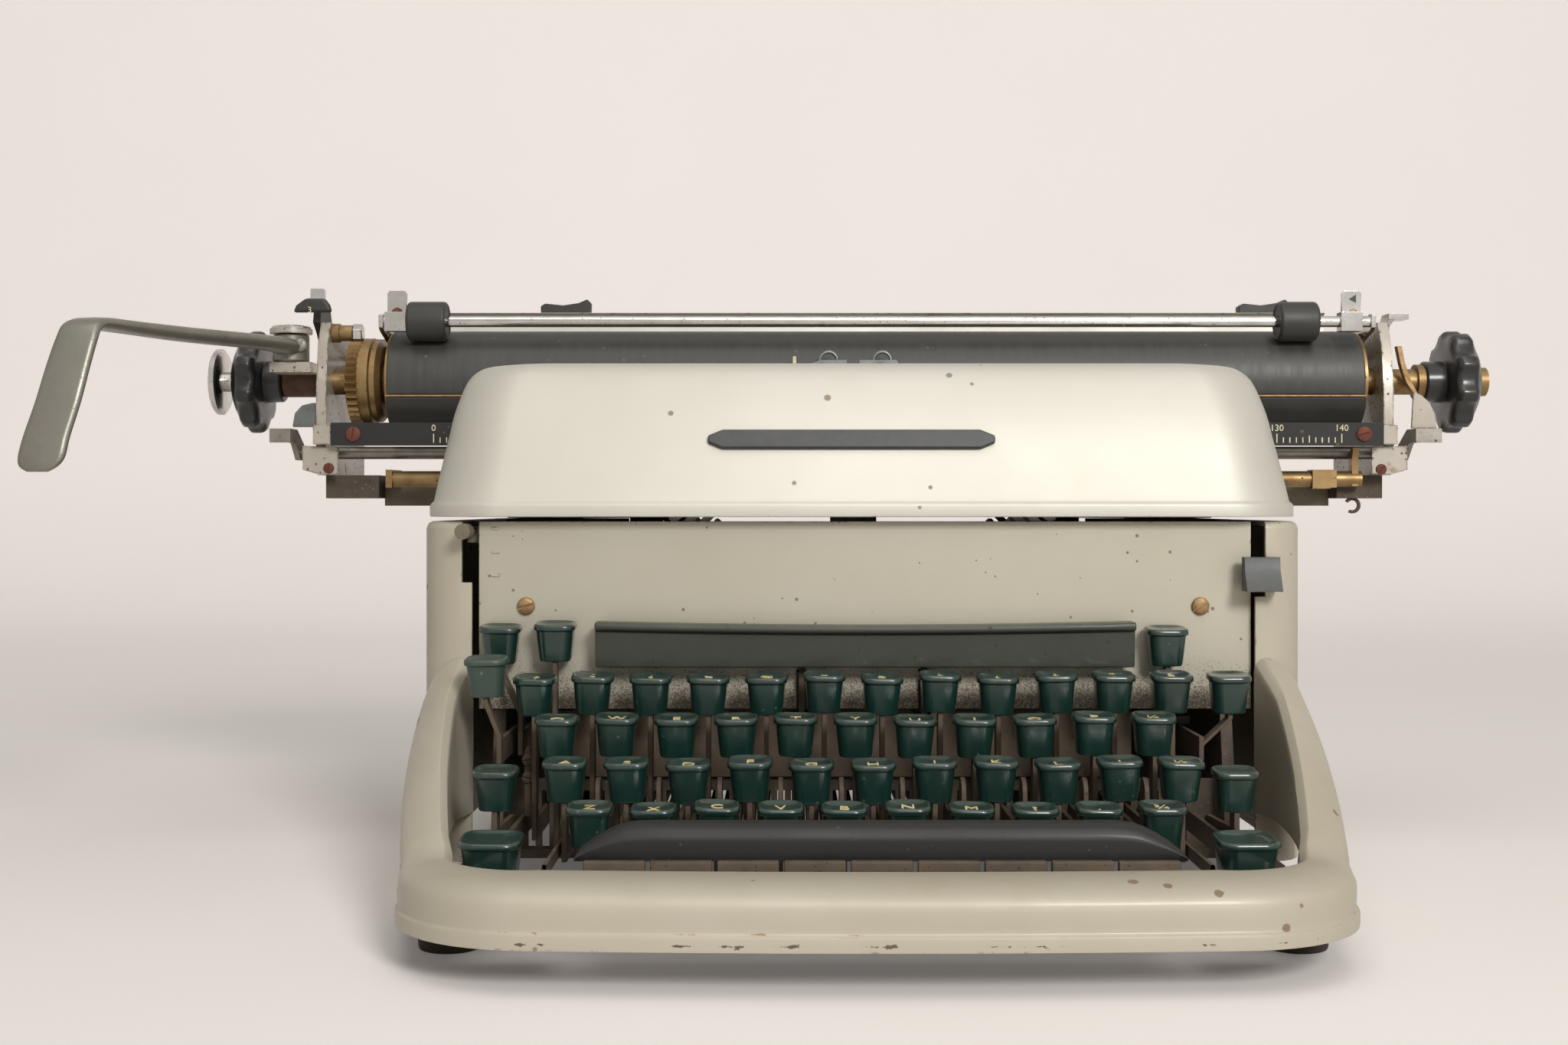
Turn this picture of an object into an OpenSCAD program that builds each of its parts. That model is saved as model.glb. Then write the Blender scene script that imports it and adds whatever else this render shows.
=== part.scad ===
// Wide-carriage typewriter of the old office kind, in millimetres.
// Bench frame: X to the right from the middle of the case, Y back from the front rim, Z up from the desk.
// The whole machine is moved at the end so that its origin lies under the middle of its outer box.

/* [Case] */
// Width over the side panels
case_w = 302; // [298:1:312]
// Depth from the front rim to the rear panel's back
case_d = 322; // [320:1:335]
// Height of the side panels' top edge above the desk
case_top = 128.5; // [127.5:0.25:129]
// Thickness of the sheet metal of panels and cover
sheet_t = 1.5; // [1.2:0.1:1.8]
// Width of the side panels' front strips
strip_w = 18.1; // [17:0.1:19]
// Height of the front panel's lower edge
panel_z = 64.6; // [63:0.2:66]
// Height of the case above the desk
foot_h = 13; // [12:0.5:14]
// Radius of a rubber foot
foot_r = 11; // [8:0.5:12]

/* [Keyboard surround] */
// Height of the front rim
rim_h = 31; // [29:0.5:32]
// Half width of the surround at its front corners
rim_half_w = 140; // [138:0.5:143]
// Height of the cheeks' rear tips
cheek_h = 82; // [76:1:86]
// Width of the rim band at the front, from its outer face to the keyboard opening
rim_w = 24; // [20:0.5:25]
// Width of the cheeks beside the keyboard
cheek_w = 14.7; // [13:0.1:15]

/* [Top cover] */
// Height of the cover's lower lip
cover_z = 130; // [129.8:0.1:130.6]
// Height of the cover's flat top
cover_top = 184; // [184:0.5:186]
// Radius of the cover's upright front corners
cover_corner_r = 26; // [20:1:30]
// Opening angle of the cover, in degrees
cover_open = 65; // [40:5:70]

/* [Keys] */
// Distance between neighbouring keys of a row
key_pitch = 19.05; // [18.8:0.05:19.1]
// Distance from the front rim to the front row of keys
key_front_y = 55; // [54.5:0.5:56]
// Distance between rows, front to back
row_gap = 19; // [18.5:0.25:19]
// Rise from one row to the next
row_rise = 11.5; // [11:0.25:12]
// Height of the front row's key tops
key_top_z = 44; // [43.5:0.5:46]
// Width of a key cap's top
cap_w = 14; // [12.5:0.25:14.25]
// Depth of a key cap's top, front to back
cap_d = 12.5; // [11.5:0.25:13]
// Height of a key cap
cap_h = 12.5; // [11:0.25:12.5]
// Thickness of a key lever
lever_t = 1.6; // [1.2:0.1:1.8]
// Height of a key lever
lever_h = 7; // [6:0.25:7]
// Height of the fulcrum shaft's axis
shaft_z = 27.5; // [27.5:0.25:28]
// Radius of the fulcrum shaft
shaft_r = 3; // [2.5:0.1:3.2]
// Running clearance of a bore on its shaft or pin
run_gap = 0.05; // [0.02:0.01:0.08]
// Clearance between faces of pieces that move past each other
slide_gap = 0.3; // [0.2:0.05:0.35]
// Width of a shift key's top
shift_w = 18.8; // [17:0.2:19]
// Length of the space bar
space_l = 175.5; // [165:0.5:176]
// Length of the tabulator bar
tab_bar_l = 181; // [160:1:184]

/* [Typing works] */
// Number of type bars
bar_count = 44; // [38:1:46]
// Radius of the type bars' pivot circle
basket_r = 86; // [84:0.5:88]
// Half of the angle that the basket spans
basket_half = 58; // [50:1:59]
// Travel of the type basket when the shift is pressed
shift_drop = 6.5; // [5:0.5:7]
// Radius of a ribbon spool
spool_r = 24; // [20:0.5:24.5]

/* [Carriage] */
// Length of the platen's rubber
platen_l = 385.3; // [380:0.5:386]
// Radius of the platen
platen_r = 20.3; // [19.5:0.1:20.4]
// Height of the platen's axis
platen_z = 183.8; // [183:0.2:185]
// Distance of the platen's axis from the front rim
platen_y = 252; // [251.8:0.1:253]
// Radius of the platen's shaft
platen_shaft_r = 5.2; // [4.5:0.1:5.4]
// Radius of a platen knob
knob_r = 20.6; // [18:0.2:21]
// Number of finger hollows round a knob
knob_flutes = 9; // [6:1:12]
// Number of teeth on the line space ratchet
ratchet_teeth = 36; // [24:1:44]
// Radius of the line space ratchet
ratchet_r = 17.3; // [16:0.1:17.5]
// Height of the margin scale's band
scale_h = 9; // [8:0.25:9]
// Radius of the paper bail's rod
bail_r = 2.2; // [1.8:0.1:2.4]
// Radius of a bail roller
roller_r = 7.8; // [7:0.1:7.9]
// Length of a bail roller
roller_l = 15.5; // [12:0.5:18]
// Radius of the brass guide tube
tube_r = 3.2; // [2.6:0.1:3.3]
// Height of the margin stops' black tops
stop_top = 222; // [219:0.5:224]
// Width of a margin stop
stop_w = 22.5; // [18:0.5:24]

/* [Return lever] */
// Sideways reach of the lever's tip from the middle of the case
lever_reach = 272; // [266:1:276]
// Height of the lever's tip above the desk
lever_tip_z = 144.5; // [140:0.5:150]
// Width of the lever's paddle
paddle_w = 15.5; // [12:0.5:17]

/* [Hidden] */

// Steps of a full circle
$fn = 48;
// A small overlap that joins pieces of one solid
join = 0.2;

// Case layout
case_half = case_w / 2;
panel_gap = 0.6;
panel_half = case_half - strip_w - panel_gap;
row_y = [for (r = [0:3]) key_front_y + r * row_gap];
row_top = [for (r = [0:3]) key_top_z + r * row_rise];
panel_y = key_front_y + 79;
side_front_y = panel_y - 4;
side_corner_r = strip_w - 2.1;
panel_back_y = panel_y + sheet_t;
rear_y = case_d - sheet_t;
plate_in = 122;
plate_t = 4;
plate_out = plate_in + plate_t;
frame_top = 129.2;
foot_x = 105;
front_foot_x = plate_out + 2;
front_foot_y = 62;
rear_foot_y = case_d - 29;
front_pad_t = 1.2;
rear_pad_t = 2.5;
frame_back_y = rear_y - 4;
bulkhead_y = frame_back_y - 10.5;
screw_x = 115;
screw_z = panel_z + 35;
screw_r = 1.9;
lug_t = 2.5;

// Fulcrums
shaft_y = 300;
lever_z0 = shaft_z - lever_h / 2;
lever_top = lever_z0 + lever_h;
upper_y = 185;
upper_z = 56;
upper_r = 2.5;

// Key places: each row starts a number of lever steps to the right of the first lever
lever_step = key_pitch / 4;
key_left_x = -109;
row_first_step = [5, 3, 2, 0];
FINGER_COLUMNS = [
    [[0], [1], [2], [3, 4], [5, 6], [7], [8], [9]],
    [[0], [1], [2], [3, 4], [5, 6], [7], [8], [9, 10]],
    [[0], [1], [2], [3, 4], [5, 6], [7], [8], [9, 10]],
    [[0, 1], [2], [3], [4, 5], [6, 7], [8], [9], [10, 11]]
];
shift_left_x = key_left_x - lever_step;
shift_right_x = key_left_x + 46 * lever_step;
space_left_x = key_left_x + 2.5 * lever_step;
space_right_x = key_left_x + 43.5 * lever_step;
cap_lip = 2.1;
cap_seat = 0.05;
shift_y = row_y[0] - 5;
shift_top = 35.7;
lock_drop = 3;
shift_d = 17;
shift_h = 11;
lock_pivot_y = row_y[1] + 36;
upper_key_y = row_y[3] + 14;

// Controls beside the front panel
slot_run = 17.4;
panel_lip_in = 10;
selector_x = panel_half + 2;
ribbon_knob_z = case_top - 3.3;
touch_z0 = case_top - 23.5;

// Typing works
basket_front = panel_y + 5;
segment_y0 = 213;
segment_y1 = 225;
beam_z = 80;
guide_y0 = segment_y1 + 1.4;
guide_t = 1.6;
guide_x = 82;
spindle_r = 3;
spool_x = 102;
spool_y = 168;
spool_z0 = frame_top + slide_gap;

// Cover
cover_front_y = panel_y - 7;
cover_back_y = 222;
cover_pivot_y = 219;
cover_pivot_z = cover_top - 4.5;
cover_pin_r = 1.6;
pivot_boss_r = 2.4;
ear_in = 117.5;
ear_t = 4;

// Carriage
rail_y0 = 259.3;
rail_y1 = 286.7;
rail_w = 4;
rail_top = 139.5;
platen_left = 9.15 - platen_l / 2;
platen_right = platen_left + platen_l;
plate_left = platen_left - 28.5;
plate_right = platen_right + 8.2;
end_t = 4;
bed_z = 133.8;
bed_left = plate_left + 23;
bed_right = plate_right - 16;
bed_wall = 3;
bed_front_y = rail_y0 - slide_gap - bed_wall;
bed_back_y = rail_y1 + rail_w + slide_gap + bed_wall;
bed_top = 144.4;
block_top = 146;
block_front_y = bed_front_y - 12;
plate_front_y = platen_y - 16;
ratchet_x0 = platen_left - 17.2;
scale_left = plate_left + 7.4;
scale_right = plate_right - 2;
scale_z0 = platen_z - 26.4;
scale_y0 = platen_y - 23;
bail_y = platen_y - 17;
bail_z = platen_z + 22.7;
bail_pivot_y = platen_y + 24;
bail_pivot_z = platen_z + 12.2;
bail_pin_r = 2;
arm_left = platen_left - 3;
arm_right = platen_right + 2.2;
arm_t = 1.8;
release_y = platen_y - 6;
release_z = platen_z - 28.8;
release_r = 2.5;
knob_left_x1 = plate_left - 16.5;
knob_left_x0 = knob_left_x1 - 19.9;
knob_right_x0 = plate_right + 20.3;
knob_right_x1 = knob_right_x0 + 21.7;
nut_end = knob_right_x1 + 3.7;
knob_hub_r = 8.2;
knob_dome = 4.4;
button_x0 = knob_left_x0 - 8.1;
button_r = 13.3;
button_stem_r = 4;
hub_x = plate_left - 9;
hub_y = platen_y - 19;
hub_r = 7;
hub_z0 = platen_z + 6.5;
hub_z1 = hub_z0 + 10.7;
hub_pin_r = 3;
rack_y = platen_y + 45;
rack_z = platen_z + 15.2;
rack_w = 3.5;
rack_h = 6;
spacer_y = platen_y + 12;
spacer_z = platen_z + 13.2;
loosener_y = platen_y + 10;
loosener_z = platen_z + 8.2;
lever_pin_r = 2;
drum_x = -80;
drum_z = 95;
drum_r = 28;
drum_stud_r = 4;

// Middle of the outer box, which becomes the origin
mid_x = (nut_end - lever_reach) / 2;
mid_y = case_d / 2;

module bench() {
    translate([-mid_x, -mid_y, 0]) children();
}

// Points of an arc about c, from angle a0 to a1
function arc(c, r, a0, a1, n) = [for (i = [0:n]) let (a = a0 + (a1 - a0) * i / n) c + r * [cos(a), sin(a)]];

// Counterclockwise rectangle with cut corners, centred on c
function cut_rect(c, w, d, cut) = let (x = w / 2, y = d / 2) [
    for (p = [
        [x - cut, -y], [x, -y + cut], [x, y - cut], [x - cut, y],
        [-x + cut, y], [-x, y - cut], [-x, -y + cut], [-x + cut, -y]
    ]) c + p
];

function at_z(points, z) = [for (p = points) [p[0], p[1], z]];
function at_x(points, x) = [for (p = points) [x, p[0], p[1]]];

// Closed skin over a stack of rings that all have the same number of points
module skin(rings) {
    n = len(rings[0]);
    top = (len(rings) - 1) * n;
    polyhedron(
        points = [for (ring = rings) for (p = ring) p],
        faces = concat(
            [[for (k = [0:n - 1]) k]],
            [[for (k = [n - 1:-1:0]) top + k]],
            [for (i = [0:n:top - n]) for (k = [0:n - 1]) [i + k, i + n + k, i + n + (k + 1) % n]],
            [for (i = [0:n:top - n]) for (k = [0:n - 1]) [i + k, i + n + (k + 1) % n, i + (k + 1) % n]]
        ),
        convexity = 8
    );
}

// Cylinder along X from x0 to x1 with its axis at y, z
module rod_x(x0, x1, y, z, r) {
    translate([x0, y, z]) rotate([0, 90, 0]) cylinder(h = x1 - x0, r = r);
}

// Cylinder along Y from y0 to y1 with its axis at x, z
module rod_y(y0, y1, x, z, r) {
    translate([x, y0, z]) rotate([-90, 0, 0]) cylinder(h = y1 - y0, r = r);
}

// Box between two corners
module block(low, high) {
    translate(low) cube(high - low);
}

// Flat plate of thickness t along X from x0, with its outline in Y and Z
module plate_x(x0, t, outline) {
    translate([x0, 0, 0]) rotate([90, 0, 90]) linear_extrude(t) polygon(outline);
}

// Flat plate of thickness t along Y from y0, with its outline in X and Z
module plate_y(y0, t, outline) {
    translate([0, y0 + t, 0]) rotate([90, 0, 0]) linear_extrude(t) polygon(outline);
}

// Both sides of a mirrored pair
module both_sides() {
    children();
    mirror([1, 0, 0]) children();
}

// Case

module base_frame() {
    plate_outline = [
        [30, foot_h], [frame_back_y, foot_h], [frame_back_y, frame_top],
        [cover_pivot_y + pivot_boss_r, frame_top], [cover_pivot_y + pivot_boss_r, cover_pivot_z],
        [cover_pivot_y - 8, cover_pivot_z], [cover_pivot_y - 12, frame_top],
        [panel_back_y, frame_top], [panel_back_y, panel_z], [panel_back_y - 8, lever_z0],
        [66, lever_z0], [60, foot_h + 2], [30, foot_h + 2]
    ];
    color("dimgray") bench() difference() {
        union() {
            both_sides() {
                plate_x(plate_in, plate_t, plate_outline);
                rod_x(plate_in, plate_out, cover_pivot_y, cover_pivot_z, pivot_boss_r);
                rod_x(ear_in - 1, plate_in + join, cover_pivot_y, cover_pivot_z, cover_pin_r);
                translate([front_foot_x, front_foot_y, foot_h]) cylinder(h = front_pad_t, r = foot_r + 0.5);
                block([foot_x - 11, 20, foot_h], [plate_in + join, 40, foot_h + 2.5]);
                translate([foot_x, rear_foot_y, foot_h]) cylinder(h = rear_pad_t, r = foot_r + 1);
                block([foot_x - 11, rear_foot_y - 3, foot_h],
                      [plate_in + join, rear_foot_y + 17, foot_h + rear_pad_t]);
                block([guide_x, segment_y0, beam_z - join], [guide_x + 4, segment_y1, frame_top + 13]);
                block([guide_x + 2, spool_y - 22, frame_top - 4], [plate_in + join, spool_y + 18, frame_top]);
                translate([spool_x, spool_y, frame_top - join]) cylinder(h = 20.2, r = spindle_r);
                block([screw_x - 9, panel_back_y, screw_z - 7.5],
                      [plate_in + join, panel_back_y + lug_t, screw_z + 7.5]);
            }
            block([-foot_x - 3, 10, foot_h], [foot_x + 3, 22, foot_h + 6]);
            block([-10, sheet_t + slide_gap, foot_h], [10, 10 + join, foot_h + 6]);
            block([-plate_in - join, panel_y + 3, foot_h], [plate_in + join, panel_y + 10, foot_h + 3]);
            block([-plate_in - join, bulkhead_y, foot_h], [plate_in + join, frame_back_y, foot_h + 6]);
            block([-plate_in - join, segment_y0, beam_z - 10], [plate_in + join, guide_y0, beam_z]);
            block([-plate_in - join, bulkhead_y, drum_z - drum_r - 5],
                  [plate_in + join, bulkhead_y + 3, frame_top - 5]);
            rod_y(bulkhead_y + 3 - join, rear_y - 1, drum_x, drum_z, drum_stud_r);
        }
        rod_x(-plate_out - 1, plate_out + 1, shaft_y, shaft_z, shaft_r + run_gap);
        rod_x(-plate_out - 1, plate_out + 1, upper_y, upper_z, upper_r + run_gap);
        for (s = [-1, 1]) rod_y(panel_back_y - 1, panel_back_y + 4, s * screw_x, screw_z, screw_r + run_gap);
    }
}

// Place, outward direction and band width of the surround at each station from the middle to a cheek's end
function surround_path() = let (
    r = 44,
    corner = [rim_half_w - r, r + 3],
    cheek_l = side_front_y - slide_gap - corner[1],
    flare = case_half - 1 - rim_half_w,
    front = [for (i = [0:3]) [[corner[0] * i / 4, 3 * pow(i / 4, 2)], [0, -1], rim_w]],
    turn = [for (a = [0:15:75]) [
        corner + r * [sin(a), -cos(a)], [sin(a), -cos(a)], rim_w + (cheek_w - rim_w) * a / 90
    ]],
    side = [for (i = [0:6]) let (t = i / 6) [
        [rim_half_w + flare * (1 - pow(1 - t, 2)), corner[1] + cheek_l * t],
        [1, 0], cheek_w + (i == 6 ? 3 : 0)
    ]]
) concat(front, turn, side);

function crest_at(y) = rim_h + (cheek_h - rim_h) * max(0, (y - 42) / (side_front_y - 42));

// Closed section of the band: its outer skin from the bottom bead to the inner wall, then back inside
function band_section(station, flip) = let (
    place = station[0],
    out = station[1],
    w = station[2],
    crest = crest_at(place[1]),
    high = crest - foot_h,
    bead_z = foot_h + 4,
    wall_z = foot_h + 0.68 * high,
    bend_z = foot_h + 0.84 * high,
    shoulder_z = foot_h + 0.94 * high,
    inner_z = min(foot_h + 17, crest - 7),
    outer = [
        [-1, foot_h], [-1, bead_z], [0, bead_z + 1], [0, wall_z], [2.4, bend_z], [7, shoulder_z],
        [w - 3, crest], [w, crest - 1.5], [w, inner_z]
    ],
    inner = [
        [w - sheet_t, inner_z], [w - sheet_t, crest - 1.5 - sheet_t], [w - 3.5, crest - sheet_t],
        [7.4, shoulder_z - sheet_t], [2.4 + sheet_t, bend_z - sheet_t], [sheet_t, wall_z],
        [sheet_t, bead_z + 1], [sheet_t - 1, bead_z], [sheet_t - 1, foot_h]
    ]
) [for (p = concat(outer, inner)) [flip * (place[0] - out[0] * p[0]), place[1] - out[1] * p[0], p[1]]];

module keyboard_surround() {
    path = surround_path();
    last = len(path) - 1;
    right = [for (i = [last:-1:0]) band_section(path[i], 1)];
    left = [for (i = [1:last]) band_section(path[i], -1)];
    color("silver") bench() skin(concat(right, left));
}

// Outline of a side panel seen from above, with its rounded upright corners
function side_outline(inset) = let (
    x0 = panel_half + panel_gap,
    x1 = case_half - inset,
    y0 = side_front_y + inset,
    y1 = rear_y - slide_gap - inset,
    r = side_corner_r - inset
) concat([[x0, y0]], arc([x1 - r, y0 + r], r, -90, 0, 6), arc([x1 - r, y1 - r], r, 0, 90, 6), [[x0, y1]]);

module side_panel(slot_bottom) {
    slot_out = panel_half + 4.1;
    difference() {
        union() {
            translate([0, 0, foot_h]) linear_extrude(case_top - foot_h) difference() {
                polygon(side_outline(0));
                translate([-join, 0]) polygon(side_outline(sheet_t));
            }
            translate([0, 0, case_top - sheet_t]) linear_extrude(sheet_t) difference() {
                polygon(side_outline(0));
                translate([-join, 0]) polygon(side_outline(12));
            }
        }
        block([panel_half, side_front_y - 1, slot_bottom], [slot_out, side_front_y + 14, case_top + 1]);
    }
}

module left_side_panel() {
    color("silver") bench() mirror([1, 0, 0]) side_panel(ribbon_knob_z - slot_run);
}

module right_side_panel() {
    color("silver") bench() side_panel(touch_z0 - 2);
}

module front_panel() {
    color("darkkhaki") bench() difference() {
        union() {
            block([-panel_half, panel_y, panel_z], [panel_half, panel_back_y, case_top]);
            block([panel_lip_in - panel_half, panel_y, case_top - sheet_t],
                  [panel_half - panel_lip_in, panel_back_y + lug_t, case_top]);
        }
        for (x = tab_arm_x) {
            block([x - 1.6, panel_y - 1, panel_z - 1], [x + 1.6, panel_back_y + 1, panel_z + 13.5]);
        }
        for (s = [-1, 1]) rod_y(panel_y - 1, panel_back_y + 1, s * screw_x, screw_z, screw_r + run_gap);
    }
}

module rear_panel() {
    color("silver") bench() difference() {
        block([-case_half, rear_y, foot_h], [case_half, case_d, case_top - 2]);
        for (i = [-4:4]) block([i * 14 - 2, rear_y - 1, 40], [i * 14 + 2, case_d + 1, 80]);
    }
}

module rubber_feet() {
    color("black") bench() both_sides() {
        for (p = [[front_foot_x, front_foot_y], [foot_x, rear_foot_y]]) {
            translate([p[0], p[1], 0]) cylinder(h = foot_h, r1 = foot_r - 1.5, r2 = foot_r);
        }
    }
}

module panel_screws() {
    color("peru") bench() for (s = [-1, 1]) difference() {
        union() {
            rod_y(panel_y - 1.6, panel_y, s * screw_x, screw_z, screw_r + 1.1);
            rod_y(panel_y - join, panel_back_y + lug_t + 0.5, s * screw_x, screw_z, screw_r);
        }
        translate([s * screw_x, panel_y - 1.6, screw_z]) rotate([0, -20, 0]) {
            cube([8, 1.4, 0.8], center = true);
        }
    }
}

// Keyboard

// Key cap with its top centred on the origin: tapered body, overhanging lip and dished top
module cap(w, d, h) {
    cut = min(w, d) * 0.22;
    skin([
        at_z(cut_rect([0, 0], w - 3.8, d - 3, cut * 0.8), -h),
        at_z(cut_rect([0, 0], w - 1.4, d - 1.4, cut), -cap_lip),
        at_z(cut_rect([0, 0], w, d, cut), -cap_lip + 0.3),
        at_z(cut_rect([0, 0], w, d, cut), -0.6),
        at_z(cut_rect([0, 0], w - 1.4, d - 1.4, cut * 0.8), 0),
        at_z(cut_rect([0, 0], w - 5.5, d - 5.5, cut * 0.6), -0.6)
    ]);
}

// Straight lever on the fulcrum shaft that ends under a cap in a short stem
module key_lever(x, y, stem_top) {
    difference() {
        union() {
            block([x - lever_t / 2, y - 3, lever_z0], [x + lever_t / 2, shaft_y + 2, lever_top]);
            rod_x(x - lever_t / 2, x + lever_t / 2, shaft_y, shaft_z, shaft_r + 2.5);
            if (stem_top > lever_top) {
                block([x - lever_t / 2, y - 3, lever_z0], [x + lever_t / 2, y + 3, stem_top]);
            }
        }
        rod_x(x - lever_t, x + lever_t, shaft_y, shaft_z, shaft_r + run_gap);
    }
}

module character_key(row, column) {
    x = key_left_x + (row_first_step[row] + 4 * column) * lever_step;
    translate([x, row_y[row], row_top[row]]) cap(cap_w, cap_d, cap_h);
    key_lever(x, row_y[row], row_top[row] - cap_h - cap_seat);
}

module finger_keys(finger) {
    color("darkslategray") bench() for (row = [0:3]) for (column = FINGER_COLUMNS[row][finger]) {
        character_key(row, column);
    }
}

module shift_key(x) {
    color("darkslategray") bench() {
        translate([x, shift_y, shift_top]) cap(shift_w, shift_d, shift_h);
        key_lever(x, shift_y + shift_d / 2 + 3.3, lever_top);
        block([x - lever_t / 2, shift_y - 3, lever_z0 - 2],
              [x + lever_t / 2, shift_y + shift_d / 2 + 6, shift_top - shift_h - cap_seat]);
    }
}

// Pin on a shift lever that carries the lock lever beside it
module lock_pin(x, side) {
    x0 = x + side * (lever_t / 2 - join);
    x1 = x + side * (lever_t / 2 + 3.2);
    rod_x(min(x0, x1), max(x0, x1), lock_pivot_y, lever_top - 2.5, 1.5);
}

module left_shift_key() {
    shift_key(shift_left_x);
    color("darkslategray") bench() lock_pin(shift_left_x, -1);
}

module right_shift_key() {
    shift_key(shift_right_x);
    color("darkslategray") bench() lock_pin(shift_right_x, 1);
}

module shift_lock(x, side) {
    lock_x = x + side * 2.4;
    cap_top = row_top[1] - lock_drop;
    top = cap_top - cap_h - cap_seat;
    color("darkslategray") bench() {
        translate([lock_x, row_y[1], cap_top]) cap(cap_w, cap_d, cap_h);
        difference() {
            union() {
                plate_x(lock_x - lever_t / 2, lever_t, [
                    [row_y[1] - 3, lever_top - 2], [lock_pivot_y, lever_top - 6],
                    [lock_pivot_y, lever_top + 1.5], [row_y[1] + 3, lever_top + 3],
                    [row_y[1] + 3, top], [row_y[1] - 3, top]
                ]);
                rod_x(lock_x - lever_t / 2, lock_x + lever_t / 2, lock_pivot_y, lever_top - 2.5, 3.5);
            }
            rod_x(lock_x - lever_t, lock_x + lever_t, lock_pivot_y, lever_top - 2.5, 1.5 + run_gap);
        }
    }
}

module left_shift_lock() {
    shift_lock(shift_left_x, -1);
}

module right_shift_lock() {
    shift_lock(shift_right_x, 1);
}

// Key on the upper shaft: cap, cranked stem and lever
module upper_key(cap_x, lever_x, y, top, bend_z) {
    t = lever_t / 2;
    stem_top = top - cap_h - cap_seat;
    color("darkslategray") bench() {
        translate([cap_x, y, top]) cap(cap_w, cap_d, cap_h);
        difference() {
            union() {
                plate_y(y - 2.5, 5, [
                    [cap_x - t, stem_top], [cap_x - t, stem_top - 2],
                    [lever_x - t, bend_z], [lever_x - t, upper_z - 2],
                    [lever_x + t, upper_z - 2], [lever_x + t, bend_z],
                    [cap_x + t, stem_top - 2], [cap_x + t, stem_top]
                ]);
                block([lever_x - t, y - 2.5, upper_z - 6], [lever_x + t, upper_y, upper_z + 2]);
                rod_x(lever_x - t, lever_x + t, upper_y, upper_z, upper_r + 3);
            }
            rod_x(lever_x - lever_t, lever_x + lever_t, upper_y, upper_z, upper_r + run_gap);
        }
    }
}

module tab_set_key() {
    upper_key(key_left_x - 13.5, key_left_x - 6.5, upper_key_y, row_top[3] + 15, upper_z + 8);
}

module tab_clear_key() {
    upper_key(key_left_x + 5, key_left_x + 5, upper_key_y, row_top[3] + 16.3, upper_z + 8);
}

module margin_set_key() {
    upper_key(shift_right_x - 8.2, shift_right_x - 8.2, upper_key_y, row_top[3] + 14.2, upper_z + 8);
}

module margin_release_key() {
    upper_key(key_left_x - 15, key_left_x - 10.6, row_y[3] - 7, row_top[3] + 6, upper_z + 3);
}

module back_space_key() {
    upper_key(shift_right_x + 9.5, shift_right_x, row_y[3], row_top[3], upper_z - 1);
}

tab_arm_x = [-21, 20.5];
tab_bar_x = 0.2;
tab_bar_z0 = row_top[3] + 0.8;
tab_bar_z1 = tab_bar_z0 + 15.6;
tab_bar_y0 = row_y[3] + 7.5;

module tab_bar() {
    y0 = tab_bar_y0;
    y1 = tab_bar_y0 + 10;
    stations = [for (i = [-4:4]) i / 4];
    color("darkolivegreen") bench() {
        translate([tab_bar_x, 0, 0]) skin([for (s = stations) let (drop = 1.2 * (1 - s * s)) at_x([
            [y0 + 3, tab_bar_z0], [y1, tab_bar_z0], [y1, tab_bar_z1 - drop], [y0, tab_bar_z1 - drop],
            [y0, tab_bar_z1 - drop - 2.4], [y0 + 2, tab_bar_z1 - drop - 3]
        ], s * tab_bar_l / 2)]);
        for (x = tab_arm_x) difference() {
            union() {
                plate_x(x - 1, 2, [
                    [y1 - join, tab_bar_z0 + 2], [panel_y - 3, panel_z - 2], [upper_y - 10, upper_z - 4],
                    [upper_y, upper_z - 4], [upper_y, upper_z + 4], [upper_y - 10, upper_z + 4],
                    [panel_y + 6, panel_z + 8], [panel_y - 1.5, panel_z + 9], [y1 + 2, tab_bar_z0 + 12],
                    [y1 - join, tab_bar_z0 + 12]
                ]);
                rod_x(x - 1, x + 1, upper_y, upper_z, upper_r + 3);
            }
            rod_x(x - 2, x + 2, upper_y, upper_z, upper_r + run_gap);
        }
    }
}

module space_bar() {
    half = space_l / 2;
    mid = 0.7;
    y0 = row_y[0] - 26;
    y1 = row_y[0] - 12;
    z0 = lever_top + 1.2;
    ends = [[-half, 1.8], [-half + 6, 6], [-half + 13, 9.6], [-half + 20, 10.4]];
    stations = concat(ends, [for (i = [3:-1:0]) [-ends[i][0], ends[i][1]]]);
    color("black") bench() {
        translate([mid, 0, 0]) skin([for (s = stations) at_x([
            [y0, z0], [y1, z0], [y1, z0 + s[1] * 0.8], [y1 - 3, z0 + s[1]],
            [y0 + 4, z0 + s[1]], [y0, z0 + s[1] * 0.7]
        ], s[0])]);
        for (x = [space_left_x, space_right_x]) difference() {
            union() {
                block([x - 0.6, y0 + 7, lever_z0 + 1], [x + 0.6, shaft_y + 2, lever_top - 2]);
                rod_x(x - 0.6, x + 0.6, shaft_y, shaft_z, shaft_r + 2);
                block([min(x - 0.6, sign(x) * (half - 4)), y0 + 7, lever_z0 + 1],
                      [max(x + 0.6, sign(x) * (half - 4)), y0 + 12, z0 + join]);
            }
            rod_x(x - 1, x + 1, shaft_y, shaft_z, shaft_r + run_gap);
        }
    }
}

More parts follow.
